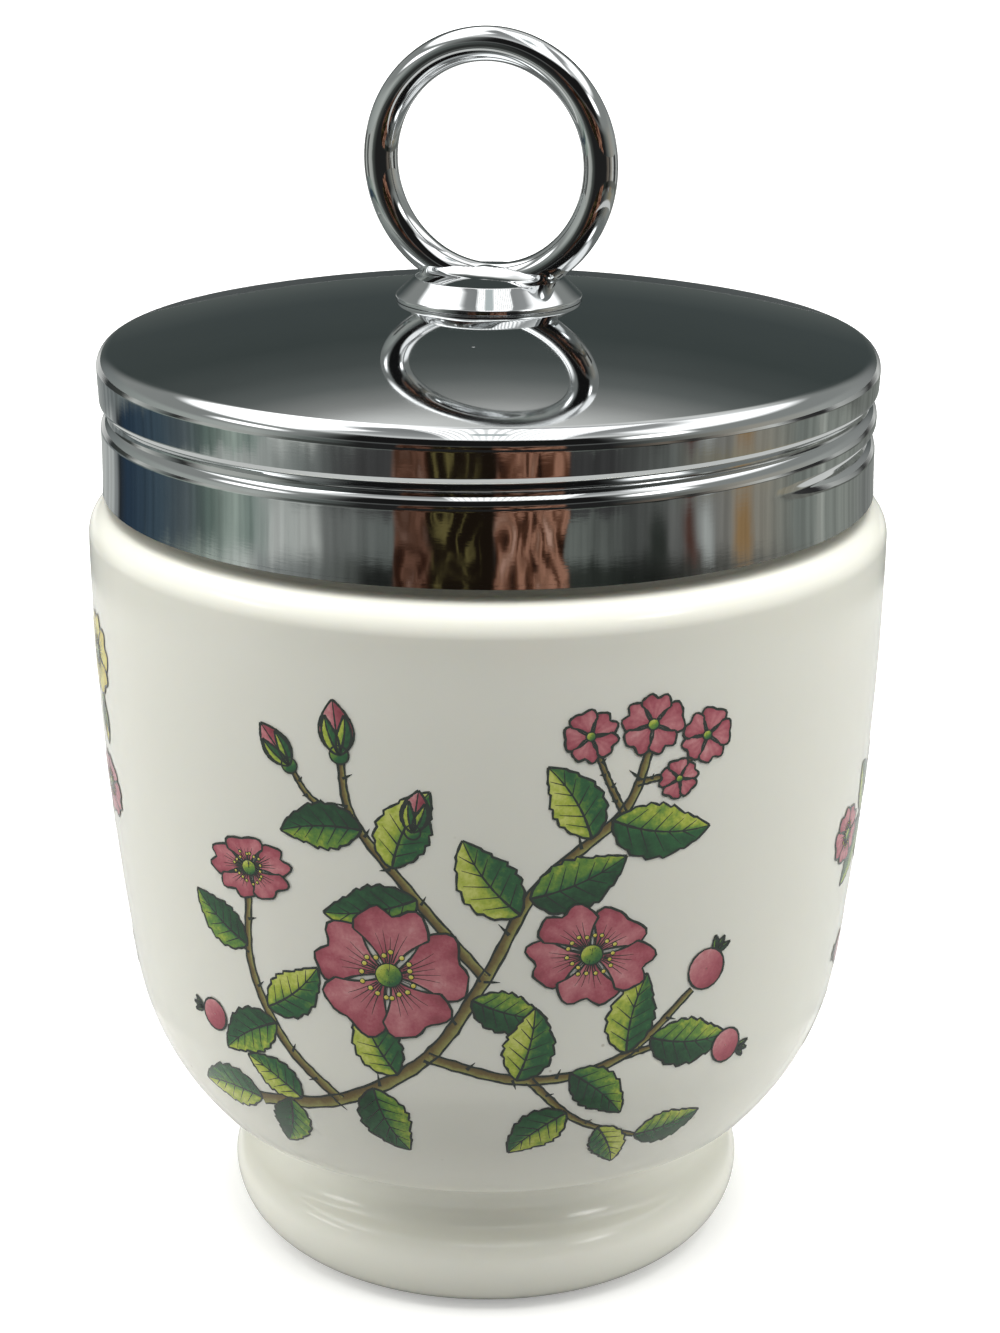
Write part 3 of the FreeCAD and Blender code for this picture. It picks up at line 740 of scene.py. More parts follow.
def rose_spray(spray, bloom_ink, small_ink):
    """An arching branch with two open roses, a cluster of small ones, buds, hips and leaves."""
    for start, end, *points in (
        (1.0, 0.5, (-16, 8.5), (-9, 10.5), (-2.5, 15), (1.5, 21.5), (5, 28.5), (10.5, 33.5), (12.3, 38)),
        (0.7, 0.45, (-9, 10.5), (-13.2, 14.5), (-15.6, 20), (-15.4, 26)),
        (0.7, 0.4, (1.5, 21.5), (-3.5, 28), (-7.2, 33), (-8, 37.5)),
        (0.75, 0.45, (-2.5, 15), (4.5, 13.2), (11, 14.4), (16.3, 18.8)),
        (0.55, 0.35, (4.5, 13.2), (8, 9.4), (12.6, 6.9)),
        (0.4, 0.3, (10.5, 33.5), (9.4, 36), (8.6, 38.2)),
        (0.4, 0.3, (11.4, 35.5), (14.2, 36), (16, 37.4)),
        (0.4, 0.3, (-7.2, 33), (-10, 34), (-11.6, 36.2)),
        (0.45, 0.3, (11, 14.4), (14.6, 14.8), (18.6, 13.6)),
    ):
        spray.stem(points, start, end)
    for base, turn, length, width, bend, level, light in (
        ((-16, 8.5), 186, 6.6, 3.8, 30, 1, 0.55), ((-13.2, 9.4), 262, 5.4, 3.2, -30, 2, 0.3),
        ((-12.2, 9.8), 150, 5.2, 3.0, 25, 3, 0.62), ((-6.4, 12), 292, 6.2, 3.7, 30, 1, 0.35),
        ((-4.6, 13.4), 118, 5.8, 3.4, -25, 2, 0.6), ((-13.8, 15.8), 214, 6.2, 3.5, 25, 1, 0.4),
        ((-14.4, 17), 38, 6.0, 3.4, 30, 2, 0.6), ((-15.8, 21.6), 148, 5.6, 3.3, -25, 1, 0.35),
        ((0.6, 19.8), 342, 5.4, 3.2, 25, 1, 0.35), ((3.8, 26.4), 128, 6.8, 4.0, -30, 3, 0.6),
        ((4.4, 27.6), 18, 7.0, 4.0, 25, 1, 0.32), ((8.4, 31.8), 112, 6.2, 3.5, 30, 2, 0.62),
        ((9.8, 33), 344, 7.4, 4.0, 35, 3, 0.45), ((-3, 27.4), 196, 6.8, 3.8, -25, 1, 0.38),
        ((-4.6, 29.6), 72, 6.4, 3.6, -30, 2, 0.6), ((-6.6, 32.2), 186, 6.0, 3.4, 30, 3, 0.3),
        ((3.6, 13.3), 74, 6.0, 3.5, 25, 2, 0.6), ((7.4, 13.6), 318, 5.6, 3.3, -25, 3, 0.3),
        ((11.4, 14.7), 84, 6.4, 3.6, -25, 1, 0.55), ((13.2, 15.6), 344, 6.8, 3.8, 30, 2, 0.35),
        ((7.2, 10.2), 216, 5.6, 3.3, 25, 2, 0.5), ((9.6, 8.4), 292, 4.6, 2.8, -25, 3, 0.65),
        ((12.6, 6.9), 6, 5.6, 3.2, 25, 1, 0.4),
    ):
        jitter = spray.chance.uniform(-4, 4)
        spray.leaf(base, turn + jitter, length, width, bend, level, light)
    spray.bloom((-5.0, 21.4), 5.5, 14, bloom_ink, 5)
    spray.bloom((8.6, 23.0), 4.6, 48, bloom_ink, 5, 0.86, 70)
    spray.bloom((-15.2, 27.8), 3.4, 30, bloom_ink, 5, 0.72, 100)
    spray.bloom((12.4, 39.6), 2.3, 10, small_ink, 6)
    spray.bloom((8.2, 39.2), 1.9, 40, small_ink, 5)
    spray.bloom((16.4, 38.2), 2.0, 70, small_ink, 5)
    spray.bloom((14.4, 35.4), 1.5, 25, small_ink, 5)
    spray.bud((-8, 37.5), 96, 3.9, bloom_ink)
    spray.bud((-11.6, 36.2), 128, 3.4, bloom_ink)
    spray.bud((-3.2, 32.4), 82, 3.1, small_ink)
    spray.hip((17.4, 20.2), 1.5, 58)
    spray.hip((19.8, 13.2), 1.3, -20)
    spray.hip((-19.8, 14.6), 1.2, 170)


front_spray = Spray(-3.0, 11)
rose_spray(front_spray, "rose", "rose")
right_spray = Spray(117.0, 23)
right_spray.stem([(-15.4, 24), (-19, 25.6), (-22.4, 25)], 0.45, 0.35)
right_spray.leaf((-19, 25.6), 120, 5.4, 3.2, 25, 2, 0.5)
right_spray.leaf((-20.4, 25.4), 232, 5.6, 3.2, -25, 1, 0.4)
right_spray.bloom((-24.2, 25.4), 2.7, 50, "rose", 5, 0.85, 60)
rose_spray(right_spray, "yellow", "rose")
left_spray = Spray(-123.0, 37)
left_spray.stem([(12.3, 38), (17, 39.4), (22.4, 38.4)], 0.45, 0.35)
left_spray.leaf((17, 39.4), 300, 5.2, 3.1, 25, 1, 0.4)
left_spray.bloom((24.0, 38.2), 3.2, 20, "yellow", 5)
left_spray.bud((24.6, 34.6), 280, 3.2, "yellow")
left_spray.stem([(16.3, 18.8), (20, 23), (23, 26.6)], 0.45, 0.35)
left_spray.bloom((24.4, 28.2), 2.9, 60, "rose", 5, 0.8, 80)
rose_spray(left_spray, "rose", "yellow")
sprays = [
    front_spray.finish("front_print"),
    right_spray.finish("right_print"),
    left_spray.finish("left_print"),
]


# ---- materials


class Nodes:
    """Short way to write node trees: the calls add nodes, and most of them return an output."""

    def __init__(self, tree):
        self.tree = tree
        tree.nodes.clear()

    def add(self, kind, inputs=(), out=0, **settings):
        node = self.tree.nodes.new(kind)
        for key, setting in settings.items():
            setattr(node, key, setting)
        for key, given in dict(inputs).items():
            if isinstance(given, bpy.types.NodeSocket):
                self.tree.links.new(given, node.inputs[key])
            else:
                node.inputs[key].default_value = given
        return node.outputs[out]

    def math(self, operation, first, second=0.5, third=0.5):
        return self.add("ShaderNodeMath", {0: first, 1: second, 2: third}, operation=operation)

    def times(self, first, second):
        return self.math("MULTIPLY", first, second)

    def vector(self, operation, first, second=(0, 0, 0)):
        """A number worked out from vectors."""
        return self.add("ShaderNodeVectorMath", {0: first, 1: second}, out=1, operation=operation)

    def mix(self, share, first, second, blend="MIX"):
        inputs = {0: share, 6: first, 7: second}
        return self.add("ShaderNodeMix", inputs, out=2, data_type="RGBA", blend_type=blend)

    def noise(self, where, scale, detail=2.0, rough=0.5, distort=0.0):
        inputs = {"Vector": where, "Scale": scale, "Detail": detail, "Roughness": rough}
        return self.add("ShaderNodeTexNoise", {**inputs, "Distortion": distort})

    def bump(self, strength, distance, height):
        inputs = {"Strength": strength, "Distance": distance, "Height": height}
        return self.add("ShaderNodeBump", inputs)

    def spread(self, where, low, high, to_low=0.0, to_high=1.0, smooth=True):
        """Map a value from low..high to to_low..to_high."""
        inputs = {0: where, 1: low, 2: high, 3: to_low, 4: to_high}
        kind = "SMOOTHSTEP" if smooth else "LINEAR"
        return self.add("ShaderNodeMapRange", inputs, interpolation_type=kind)

    def ramp(self, where, stops):
        colour = self.add("ShaderNodeValToRGB", {0: where})
        band = colour.node.color_ramp
        while len(band.elements) < len(stops):
            band.elements.new(0.5)
        for element, (place, shade) in zip(band.elements, stops):
            element.position = place
            element.color = (*shade, 1)
        return colour

    def window(self, value, low, high, soft):
        """1 where a value lies between low and high, with soft ends."""
        rise = self.spread(value, low - soft, low + soft)
        fall = self.spread(value, high - soft, high + soft, 1.0, 0.0)
        return self.times(rise, fall)

    def specks(self, where, scale, sizes, rare_scale, rarity):
        """1 in a few small dots that lie far apart."""
        dots = self.add("ShaderNodeTexVoronoi", {"Vector": where, "Scale": scale}, feature="F1")
        rare = self.noise(where, rare_scale, 0.0)
        return self.times(self.spread(dots, *sizes, 1.0, 0.0), self.spread(rare, *rarity))

    def close(self, shader, kind="Material"):
        output = self.tree.nodes.new(f"ShaderNodeOutput{kind}")
        self.tree.links.new(shader, output.inputs[0])

    def principled(self, **inputs):
        """Close the tree with a Principled shader; in a socket's name _ stands for a space."""
        inputs = {key.replace("_", " "): given for key, given in inputs.items()}
        self.close(self.add("ShaderNodeBsdfPrincipled", inputs))


def new_material(name):
    """A material, its nodes and the place on the object that its patterns are made from."""
    material = bpy.data.materials.new(name)
    material.use_nodes = True
    nodes = Nodes(material.node_tree)
    return material, nodes, nodes.add("ShaderNodeTexCoord", out=3)


GLAZE_ROUGHNESS = 0.09
PORCELAIN_WHITE = (0.835, 0.832, 0.745)
CHROME_TINT = (0.66, 0.675, 0.68)


def glaze_bump(nodes, where):
    """The slight unevenness of a fired glaze."""
    broad = nodes.noise(where, 210.0, 3.0)
    fine = nodes.noise(where, 1500.0, 2.0)
    height = nodes.math("MULTIPLY_ADD", fine, 0.06, broad)
    return nodes.bump(0.06, 0.0002, height)


def porcelain():
    material, nodes, where = new_material("warm_white_porcelain")
    warm = nodes.ramp(
        nodes.noise(where, 55.0, 4.0, 0.55),
        [(0.3, (0.822, 0.824, 0.735)), (0.55, PORCELAIN_WHITE), (0.8, (0.846, 0.838, 0.748))],
    )
    pin = nodes.specks(where, 330.0, (0.02, 0.06), 90.0, (0.63, 0.68))
    nodes.principled(
        Base_Color=nodes.mix(nodes.times(pin, 0.5), warm, (0.35, 0.3, 0.22, 1)),
        Roughness=GLAZE_ROUGHNESS,
        IOR=1.5,
        Subsurface_Weight=0.12,
        Subsurface_Radius=(0.0022, 0.0018, 0.0012),
        Subsurface_Scale=1.0,
        Normal=glaze_bump(nodes, where),
    )
    return material


def ink(name, stops):
    """An ink under the glaze, washed thin and thick, that follows the print's own shading."""
    material, nodes, where = new_material(f"{name}_ink")
    shade = nodes.add("ShaderNodeAttribute", out=2, attribute_name="shade")
    wash = nodes.math("SUBTRACT", nodes.noise(where, 900.0, 3.0, 0.6), 0.5)
    grain = nodes.math("SUBTRACT", nodes.noise(where, 4200.0, 2.0, 0.6), 0.5)
    place = nodes.math("MULTIPLY_ADD", wash, 0.5, shade)
    place = nodes.math("MULTIPLY_ADD", grain, 0.3, place)
    colour = nodes.ramp(place, stops)
    bump = glaze_bump(nodes, where)
    nodes.principled(Base_Color=colour, Roughness=GLAZE_ROUGHNESS, IOR=1.5, Normal=bump)
    return material


def bare_ring():
    """Unglazed biscuit of the ring that stands on the table."""
    material, nodes, where = new_material("unglazed_ground_ring")
    grain = nodes.noise(where, 2600.0, 4.0, 0.7)
    wear = nodes.noise(where, 260.0, 3.0)
    colour = nodes.ramp(
        nodes.math("MULTIPLY_ADD", grain, 0.5, nodes.times(wear, 0.5)),
        [(0.3, (0.6, 0.56, 0.48)), (0.7, (0.79, 0.76, 0.69))],
    )
    nodes.principled(Base_Color=colour, Roughness=0.75, Normal=nodes.bump(0.25, 0.0001, grain))
    return material


def chrome(name, waviness):
    """Bright chrome plate: faint waves of the metal under it, fine scratches and a few specks."""
    material, nodes, where = new_material(name)
    smudge = nodes.noise(where, 130.0, 4.0, 0.6)
    shades = ((0.25, 0.955), (0.6, 1.0), (0.85, 1.03))
    colour = nodes.ramp(
        smudge, [(place, tuple(bright * part for part in CHROME_TINT)) for place, bright in shades]
    )
    stretched = nodes.add("ShaderNodeMapping", {"Vector": where, "Scale": (900.0, 900.0, 5200.0)})
    scratch = nodes.noise(stretched, 1.0, 3.0, 0.6)
    pits = nodes.specks(where, 240.0, (0.015, 0.05), 70.0, (0.6, 0.64))
    rough = nodes.math("ADD", nodes.spread(smudge, 0.35, 0.8, 0.028, 0.07), nodes.times(pits, 0.35))
    wave = nodes.noise(where, 120.0, 2.0, 0.4)
    height = nodes.math("MULTIPLY_ADD", scratch, 0.006, nodes.times(wave, waviness))
    height = nodes.math("MULTIPLY_ADD", pits, -0.05, height)
    bump = nodes.bump(0.35, 0.0002, height)
    nodes.principled(Base_Color=colour, Metallic=1.0, Roughness=rough, Normal=bump)
    return material


def steel():
    material, nodes, where = new_material("punched_washer_steel")
    grain = nodes.noise(where, 1800.0, 3.0, 0.7)
    colour = nodes.ramp(grain, [(0.3, (0.42, 0.42, 0.41)), (0.7, (0.58, 0.58, 0.57))])
    rough = nodes.spread(grain, 0.3, 0.7, 0.28, 0.42)
    bump = nodes.bump(0.12, 0.00005, grain)
    nodes.principled(Base_Color=colour, Metallic=1.0, Roughness=rough, Normal=bump)
    return material


cup.data.materials.append(porcelain())
cup.data.materials.append(bare_ring())
for face in cup.data.polygons:
    x, y, z = face.center / MM
    if z < GROUND_FACE_TOP and math.hypot(x, y) < FOOT_GROUND_RADIUS:
        face.material_index = 1
printed = [
    ink("line", [(0.0, (0.006, 0.012, 0.008)), (1.0, (0.022, 0.035, 0.025))]),
    ink("green", [(0.0, (0.004, 0.045, 0.014)), (0.35, (0.014, 0.115, 0.03)),
                  (0.6, (0.13, 0.27, 0.03)), (0.8, (0.42, 0.5, 0.05)), (1.0, (0.62, 0.66, 0.16))]),
    ink("rose", [(0.0, (0.2, 0.02, 0.035)), (0.4, (0.4, 0.08, 0.11)), (0.7, (0.55, 0.19, 0.21)),
                 (1.0, (0.72, 0.42, 0.4))]),
    ink("yellow", [(0.0, (0.36, 0.24, 0.015)), (0.4, (0.62, 0.5, 0.05)), (0.75, (0.74, 0.68, 0.14)),
                   (1.0, (0.8, 0.78, 0.36))]),
    ink("brown", [(0.0, (0.04, 0.025, 0.01)), (0.5, (0.17, 0.12, 0.03)), (1.0, (0.34, 0.36, 0.1))]),
]
for spray in sprays:
    for material in printed:
        spray.data.materials.append(material)
cap.data.materials.append(chrome("chrome_plate_cap", waviness=0.035))
boss.data.materials.clear()
boss.data.materials.append(chrome("chrome_plate_boss", waviness=0.05))
ring.data.materials.append(chrome("chrome_plate_ring", waviness=0.07))
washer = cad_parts["backing_washer"]
washer.data.materials.clear()
washer.data.materials.append(steel())


# ---- stage and light


def compass(nodes, where):
    """Degrees to the right of the camera for a place or ray, and its parts to front and right."""
    towards = math.radians(CAMERA_SIDE)
    front = nodes.vector("DOT_PRODUCT", where, (math.cos(towards), math.sin(towards), 0))
    right = nodes.vector("DOT_PRODUCT", where, (-math.sin(towards), math.cos(towards), 0))
    turn = nodes.math("ARCTAN2", right, front)
    return nodes.times(turn, 180 / math.pi), front, right


def straight_rays(nodes):
    """The light path's outputs, and 1 for rays that come straight or through glass."""
    path = nodes.add("ShaderNodeLightPath").node.outputs
    return path, nodes.math("MAXIMUM", path["Is Camera Ray"], path["Is Transmission Ray"])


def floor_material():
    """Nearly white floor that straight rays see lifted; the light it throws is painted shade, grey and
    nearly black in front.
    """
    material, nodes, where = new_material("pale_floor")
    cloud = nodes.noise(where, 6.0, 3.0)
    colour = nodes.ramp(cloud, [(0.3, (0.86, 0.86, 0.85)), (0.7, (0.89, 0.89, 0.885))])
    front = compass(nodes, where)[1]
    # painted shade: for bounced light the floor is grey, and nearly black on the camera's side, which
    # darkens the cup's lower front
    thrown_painted_shade = nodes.mix(nodes.spread(front, 0.0, 0.07), (0.62, 0.62, 0.61, 1), (0.1, 0.1, 0.098, 1))
    seen = straight_rays(nodes)[1]
    matte = nodes.add("ShaderNodeBsdfDiffuse", {"Color": nodes.mix(seen, thrown_painted_shade, colour)})
    white = nodes.spread(nodes.vector("LENGTH", where), 0.3, 1.2, 0.3, 1.0)
    lift = nodes.add("ShaderNodeEmission", {"Color": (1, 1, 1, 1), "Strength": white})
    nothing = nodes.add("ShaderNodeEmission", {"Strength": 0.0})
    lifted = nodes.add("ShaderNodeMixShader", {0: seen, 1: nothing, 2: lift})
    nodes.close(nodes.add("ShaderNodeAddShader", {0: matte, 1: lifted}))
    return material


def stage_disc(name, inner, outer, height, material):
    """A flat ring or disc about the cup, in metres, that is part of the stage."""
    columns = 128
    angles = [2 * math.pi * j / columns for j in range(columns)]
    points = [(r * math.cos(a), r * math.sin(a), height) for r in (outer, inner) for a in angles]
    if inner:
        disc = new_object(name, points, grid_faces(2, columns, False))
    else:
        disc = new_object(name, points[:columns], [tuple(range(columns))])
    disc.data.materials.append(material)
    return disc


stage_disc("floor", 0.0, 5.5, -0.00002, floor_material())


def seen_in_gloss_only(thing):
    for ray in ("camera", "diffuse", "transmission", "shadow", "volume_scatter"):
        setattr(thing, f"visible_{ray}", False)


def around_ramp(nodes, turn, stops):
    """Colours at directions in degrees right of the camera."""
    share = nodes.spread(turn, -180.0, 180.0, smooth=False)
    return nodes.ramp(share, [((place + 180) / 360, shade) for place, shade in stops])


def copper_pan(nodes, turn, across, colour):
    """A hanging copper pan with dark folds in it, and the dark beside it."""
    fold = nodes.add("ShaderNodeCombineXYZ", {0: nodes.times(turn, 0.055), 1: across})
    folds = nodes.noise(fold, 1.9, 1.0, 0.4, 2.4)
    copper = nodes.ramp(
        folds,
        [(0.34, (0.012, 0.006, 0.004)), (0.46, (0.1, 0.04, 0.022)), (0.52, (0.42, 0.21, 0.14)),
         (0.6, (0.16, 0.075, 0.045)), (0.7, (0.55, 0.33, 0.25))],
    )
    scribble = nodes.times(nodes.window(folds, 0.5, 0.54, 0.02), nodes.window(turn, -15.0, -4.0, 3.0))
    dark = nodes.mix(scribble, (0.012, 0.008, 0.005, 1), (0.15, 0.125, 0.045, 1))
    dim = nodes.mix(0.62, copper, (0.02, 0.008, 0.005, 1))
    colour = nodes.mix(nodes.window(turn, -25.0, -14.0, 0.8), colour, dim)
    colour = nodes.mix(nodes.window(turn, -15.5, 2.0, 1.2), colour, dark)
    return nodes.mix(nodes.window(turn, 1.5, 21.5, 0.7), colour, copper)


def side_streaks(nodes, turn):
    """Bright and dark upright things that stand round the room, dark towards the camera."""
    return around_ramp(
        nodes,
        turn,
        [(-180, (0.06, 0.07, 0.07)), (-166, (0.1, 0.11, 0.11)), (-158, (0.75, 0.76, 0.74)),
         (-146, (0.5, 0.51, 0.5)), (-140, (0.04, 0.045, 0.045)), (-126, (0.06, 0.065, 0.06)),
         (-118, (0.62, 0.63, 0.6)), (-104, (0.2, 0.22, 0.21)), (-96, (0.02, 0.02, 0.02)),
         (-86, (0.55, 0.56, 0.53)), (-66, (0.45, 0.47, 0.44)), (-56, (0.1, 0.11, 0.1)),
         (-36, (0.02, 0.02, 0.02)), (34, (0.02, 0.02, 0.02)), (50, (0.2, 0.17, 0.14)),
         (58, (0.03, 0.03, 0.03)), (72, (0.4, 0.37, 0.32)), (86, (0.7, 0.71, 0.68)),
         (96, (0.05, 0.05, 0.05)), (108, (0.03, 0.03, 0.03)), (116, (0.55, 0.56, 0.54)),
         (132, (0.3, 0.31, 0.3)), (140, (0.03, 0.03, 0.03)), (152, (0.62, 0.63, 0.61)),
         (164, (0.12, 0.13, 0.13)), (180, (0.06, 0.07, 0.07))],
    )


# where the zones of the table blend, in metres from the cup's axis
SHEET_UP_TO = (0.176, 0.188)
MIDDLE_FROM = (0.226, 0.234)
OUTER_FROM = (0.256, 0.274)
THINGS_WITHIN = (0.234, 0.27, 0.012)
PAN_UP_TO = (0.32, 0.33)
STREAKS_FROM = (0.325, 0.35)


def room_below():
    """What polished metal sees where the floor is: a white sheet, then a table top with things."""
    material, nodes, where = new_material("table_seen_in_gloss")
    bend = nodes.math("SUBTRACT", nodes.noise(where, 14.0, 3.0, 0.6, 0.8), 0.5)
    turn = compass(nodes, where)[0]
    wavy = nodes.math("MULTIPLY_ADD", bend, 9.0, turn)
    distance = nodes.vector("LENGTH", where)
    streak = nodes.add("ShaderNodeCombineXYZ", {0: nodes.times(turn, 0.2)})
    ragged = nodes.math("SUBTRACT", nodes.noise(streak, 1.0, 4.0, 0.65), 0.5)
    reach = nodes.math("MULTIPLY_ADD", ragged, 0.034, distance)
    inner = around_ramp(
        nodes,
        wavy,
        [(-180, (0.2, 0.22, 0.22)), (-140, (0.2, 0.22, 0.22)), (-100, (0.24, 0.27, 0.25)),
         (-70, (0.5, 0.53, 0.5)), (-52, (0.2, 0.22, 0.21)), (-36, (0.06, 0.06, 0.06)),
         (34, (0.05, 0.05, 0.05)), (52, (0.14, 0.15, 0.14)), (80, (0.33, 0.29, 0.2)),
         (110, (0.32, 0.33, 0.31)), (150, (0.2, 0.21, 0.2)), (180, (0.2, 0.22, 0.22))],
    )
    middle = around_ramp(
        nodes,
        wavy,
        [(-180, (0.54, 0.56, 0.54)), (-140, (0.44, 0.46, 0.45)), (-135, (0.3, 0.32, 0.32)),
         (-131, (0.022, 0.028, 0.034)), (-126, (0.024, 0.045, 0.075)), (-104, (0.055, 0.085, 0.11)),
         (-92, (0.1, 0.125, 0.135)), (-82, (0.12, 0.165, 0.145)), (-73, (0.36, 0.43, 0.38)),
         (-66, (0.22, 0.28, 0.25)), (-60, (0.48, 0.51, 0.48)), (-48, (0.5, 0.52, 0.49)),
         (-45, (0.2, 0.21, 0.2)), (-26, (0.14, 0.155, 0.145)), (24, (0.15, 0.165, 0.15)),
         (40, (0.08, 0.085, 0.08)), (62, (0.2, 0.2, 0.19)), (82, (0.33, 0.31, 0.26)),
         (94, (0.2, 0.22, 0.2)), (124, (0.29, 0.31, 0.28)), (142, (0.2, 0.21, 0.2)),
         (180, (0.42, 0.44, 0.42))],
    )
    outer = around_ramp(
        nodes,
        wavy,
        [(-180, (0.52, 0.54, 0.52)), (-140, (0.2, 0.22, 0.22)), (-116, (0.15, 0.18, 0.18)),
         (-86, (0.37, 0.43, 0.38)), (-68, (0.57, 0.61, 0.57)), (-63, (0.28, 0.3, 0.29)),
         (-40, (0.12, 0.13, 0.12)), (-31, (0.02, 0.022, 0.02)), (28, (0.03, 0.035, 0.03)),
         (46, (0.012, 0.014, 0.012)), (66, (0.09, 0.09, 0.08)), (84, (0.18, 0.18, 0.16)),
         (126, (0.15, 0.16, 0.145)), (180, (0.28, 0.3, 0.28))],
    )
    colour = nodes.mix(nodes.spread(reach, *MIDDLE_FROM), inner, middle)
    colour = nodes.mix(nodes.spread(reach, *OUTER_FROM), colour, outer)
    # small things: a window's frame at the left, dark and bright posts and a red one at the right
    for low, high, shade in (
        (-61.0, -57.0, (0.56, 0.58, 0.55)), (44.0, 49.0, (0.03, 0.035, 0.03)),
        (55.5, 59.0, (0.09, 0.04, 0.03)), (60.5, 64.5, (0.4, 0.42, 0.4)),
        (72.0, 78.0, (0.3, 0.19, 0.09)), (106.0, 110.0, (0.4, 0.42, 0.38)),
    ):
        there = nodes.times(nodes.window(wavy, low, high, 1.8), nodes.window(reach, *THINGS_WITHIN))
        colour = nodes.mix(there, colour, (*shade, 1))
    upright = nodes.add("ShaderNodeCombineXYZ", {0: turn, 1: nodes.times(distance, 12.0)})
    bright = nodes.spread(nodes.noise(upright, 0.4, 3.0, 0.6), 0.3, 0.7, 0.82, 1.18)
    colour = nodes.mix(1.0, colour, bright, "MULTIPLY")
    with_pan = copper_pan(nodes, wavy, nodes.times(distance, 9.0), colour)
    colour = nodes.mix(nodes.spread(distance, *PAN_UP_TO, 1.0, 0.0), colour, with_pan)
    colour = nodes.mix(nodes.spread(reach, *STREAKS_FROM), colour, side_streaks(nodes, wavy))
    sheet = nodes.spread(distance, *SHEET_UP_TO, 1.0, 0.0)
    colour = nodes.mix(sheet, colour, (0.74, 0.75, 0.73, 1))
    nodes.close(nodes.add("ShaderNodeEmission", {"Color": colour, "Strength": 1.0}))
    return material


seen_in_gloss_only(stage_disc("table_seen_in_gloss", 0.045, 5.0, 0.0004, room_below()))


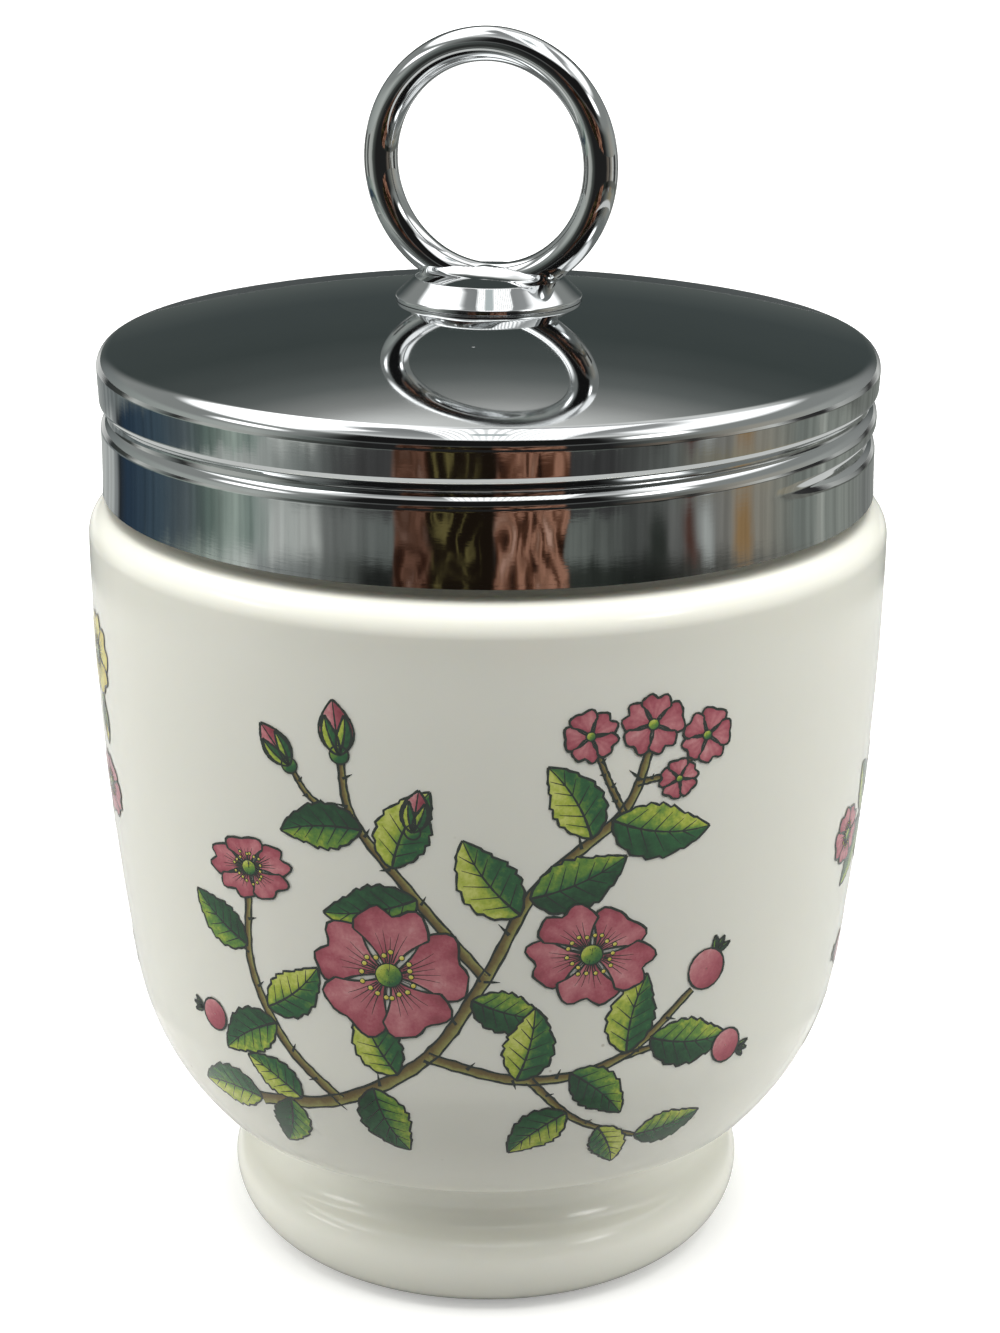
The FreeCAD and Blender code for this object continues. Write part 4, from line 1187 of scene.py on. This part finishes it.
def light_world():
    """Pale world that lights evenly; polished metal sees a darker room with windows in it."""
    world = bpy.data.worlds.new("studio")
    scene.world = world
    world.use_nodes = True
    nodes = Nodes(world.node_tree)
    where = nodes.add("ShaderNodeTexCoord", out=0)
    turn, front, right = compass(nodes, where)
    up = nodes.add("ShaderNodeSeparateXYZ", {0: where}, out=2)
    lift = nodes.times(nodes.math("ARCSINE", up), 180 / math.pi)

    walls = nodes.ramp(
        nodes.spread(lift, -10.0, 90.0, smooth=False),
        [(0.0, (0.1, 0.115, 0.11)), (0.1, (0.095, 0.11, 0.105)), (0.2, (0.06, 0.073, 0.072)),
         (0.32, (0.057, 0.07, 0.068)), (0.38, (0.082, 0.095, 0.092)), (0.42, (0.14, 0.155, 0.15)),
         (0.455, (0.3, 0.31, 0.3)), (0.49, (0.68, 0.69, 0.67)), (0.58, (0.9, 0.91, 0.9)),
         (0.7, (0.42, 0.43, 0.43)), (1.0, (0.2, 0.21, 0.21))],
    )
    # the dark place where the camera is held, and the copper pan under it
    near = nodes.window(turn, -50.0, 42.0, 10.0)
    flag = nodes.times(near, nodes.window(lift, 16.0, 47.0, 3.0))
    below = nodes.spread(lift, 36.0, 48.0, 1.0, 0.0)
    sides = nodes.times(nodes.window(turn, -148.0, 148.0, 10.0), below)
    colour = nodes.mix(sides, walls, (0.3, 0.315, 0.305, 1))
    colour = nodes.mix(flag, colour, (0.012, 0.012, 0.012, 1))
    low_part = nodes.spread(lift, 10.0, 20.0, 1.0, 0.0)
    shelf = around_ramp(
        nodes,
        turn,
        [(-180, (0.06, 0.07, 0.07)), (-146, (0.2, 0.22, 0.22)), (-120, (0.36, 0.39, 0.37)),
         (-70, (0.52, 0.55, 0.52)), (-52, (0.16, 0.18, 0.17)), (-36, (0.02, 0.02, 0.02)),
         (34, (0.02, 0.02, 0.02)), (52, (0.14, 0.15, 0.14)), (80, (0.4, 0.38, 0.33)),
         (110, (0.42, 0.44, 0.42)), (150, (0.24, 0.25, 0.25)), (180, (0.06, 0.07, 0.07))],
    )
    beside = nodes.times(low_part, nodes.window(turn, -150.0, 150.0, 12.0))
    colour = nodes.mix(beside, colour, shelf)
    with_pan = copper_pan(nodes, turn, nodes.times(lift, 0.06), colour)
    colour = nodes.mix(low_part, colour, with_pan)
    # windows high at the left and the right, and a row of small lamps overhead
    for low, high, bottom, top, strength in (
        (-172.0, -66.0, 40.0, 68.0, 2.6),
        (58.0, 140.0, 38.0, 60.0, 1.8),
        (46.0, 60.0, 27.0, 36.0, 7.0),
        (-86.0, -66.0, 23.0, 29.0, 5.0),
    ):
        pane = nodes.times(nodes.window(turn, low, high, 8.0), nodes.window(lift, bottom, top, 4.0))
        colour = nodes.mix(pane, colour, (strength, strength, strength, 1))
    overhead = nodes.spread(up, 0.5, 0.6)
    beads = nodes.math("SINE", nodes.times(right, 260.0))
    row = nodes.times(nodes.window(right, -0.16, 0.3, 0.02), nodes.window(front, -0.46, 0.64, 0.04))
    row = nodes.times(nodes.times(row, overhead), nodes.spread(beads, -0.6, 0.4, 0.35, 1.0))
    colour = nodes.mix(row, colour, (2.2, 2.2, 2.2, 1))
    inset = nodes.times(nodes.window(right, -0.05, 0.06, 0.01), nodes.window(front, 0.08, 0.3, 0.02))
    colour = nodes.mix(nodes.times(inset, overhead), colour, (0.62, 0.68, 0.68, 1))

    seen_in_gloss = nodes.add("ShaderNodeBackground", {"Color": colour, "Strength": 1.0})
    sky = nodes.ramp(
        nodes.spread(up, -1.0, 1.0, smooth=False),
        [(0.0, (0.36, 0.36, 0.36)), (0.5, (0.47, 0.475, 0.48)), (0.75, (0.66, 0.665, 0.67)),
         (1.0, (1.0, 1.0, 1.0))],
    )
    sky = nodes.mix(nodes.spread(front, 0.1, 0.95, 0.0, 0.62), sky, (0, 0, 0, 1))
    plain = nodes.add("ShaderNodeBackground", {"Color": sky, "Strength": 1.0})
    white = nodes.add("ShaderNodeBackground", {"Color": (1, 1, 1, 1), "Strength": 1.0})
    path, seen = straight_rays(nodes)
    shown = nodes.add("ShaderNodeMixShader", {0: seen, 1: plain, 2: white})
    nodes.close(
        nodes.add("ShaderNodeMixShader", {0: path["Is Glossy Ray"], 1: shown, 2: seen_in_gloss}),
        "World",
    )


light_world()


def soft_lamp(name, turn, lift, distance, size, strength):
    """A large square lamp that looks at the cup from degrees right of the camera."""
    lamp = bpy.data.lights.new(name, "AREA")
    lamp.shape = "SQUARE"
    lamp.size = size
    lamp.energy = strength
    lamp.color = (1.0, 0.995, 0.98)
    holder = bpy.data.objects.new(name, lamp)
    angle = math.radians(CAMERA_SIDE + turn)
    rise = math.radians(lift)
    middle = Vector((0, 0, 0.045))
    spot = middle + distance * Vector(
        (math.cos(angle) * math.cos(rise), math.sin(angle) * math.cos(rise), math.sin(rise))
    )
    holder.location = spot
    holder.rotation_euler = (middle - spot).to_track_quat("-Z", "Y").to_euler()
    scene.collection.objects.link(holder)
    holder.visible_glossy = False


soft_lamp("overhead_lamp", 5, 76, 1.1, 0.8, 16.0)
soft_lamp("left_lamp", -98, 14, 1.2, 0.8, 6.2)
soft_lamp("right_lamp", 98, 14, 1.2, 0.8, 4.6)
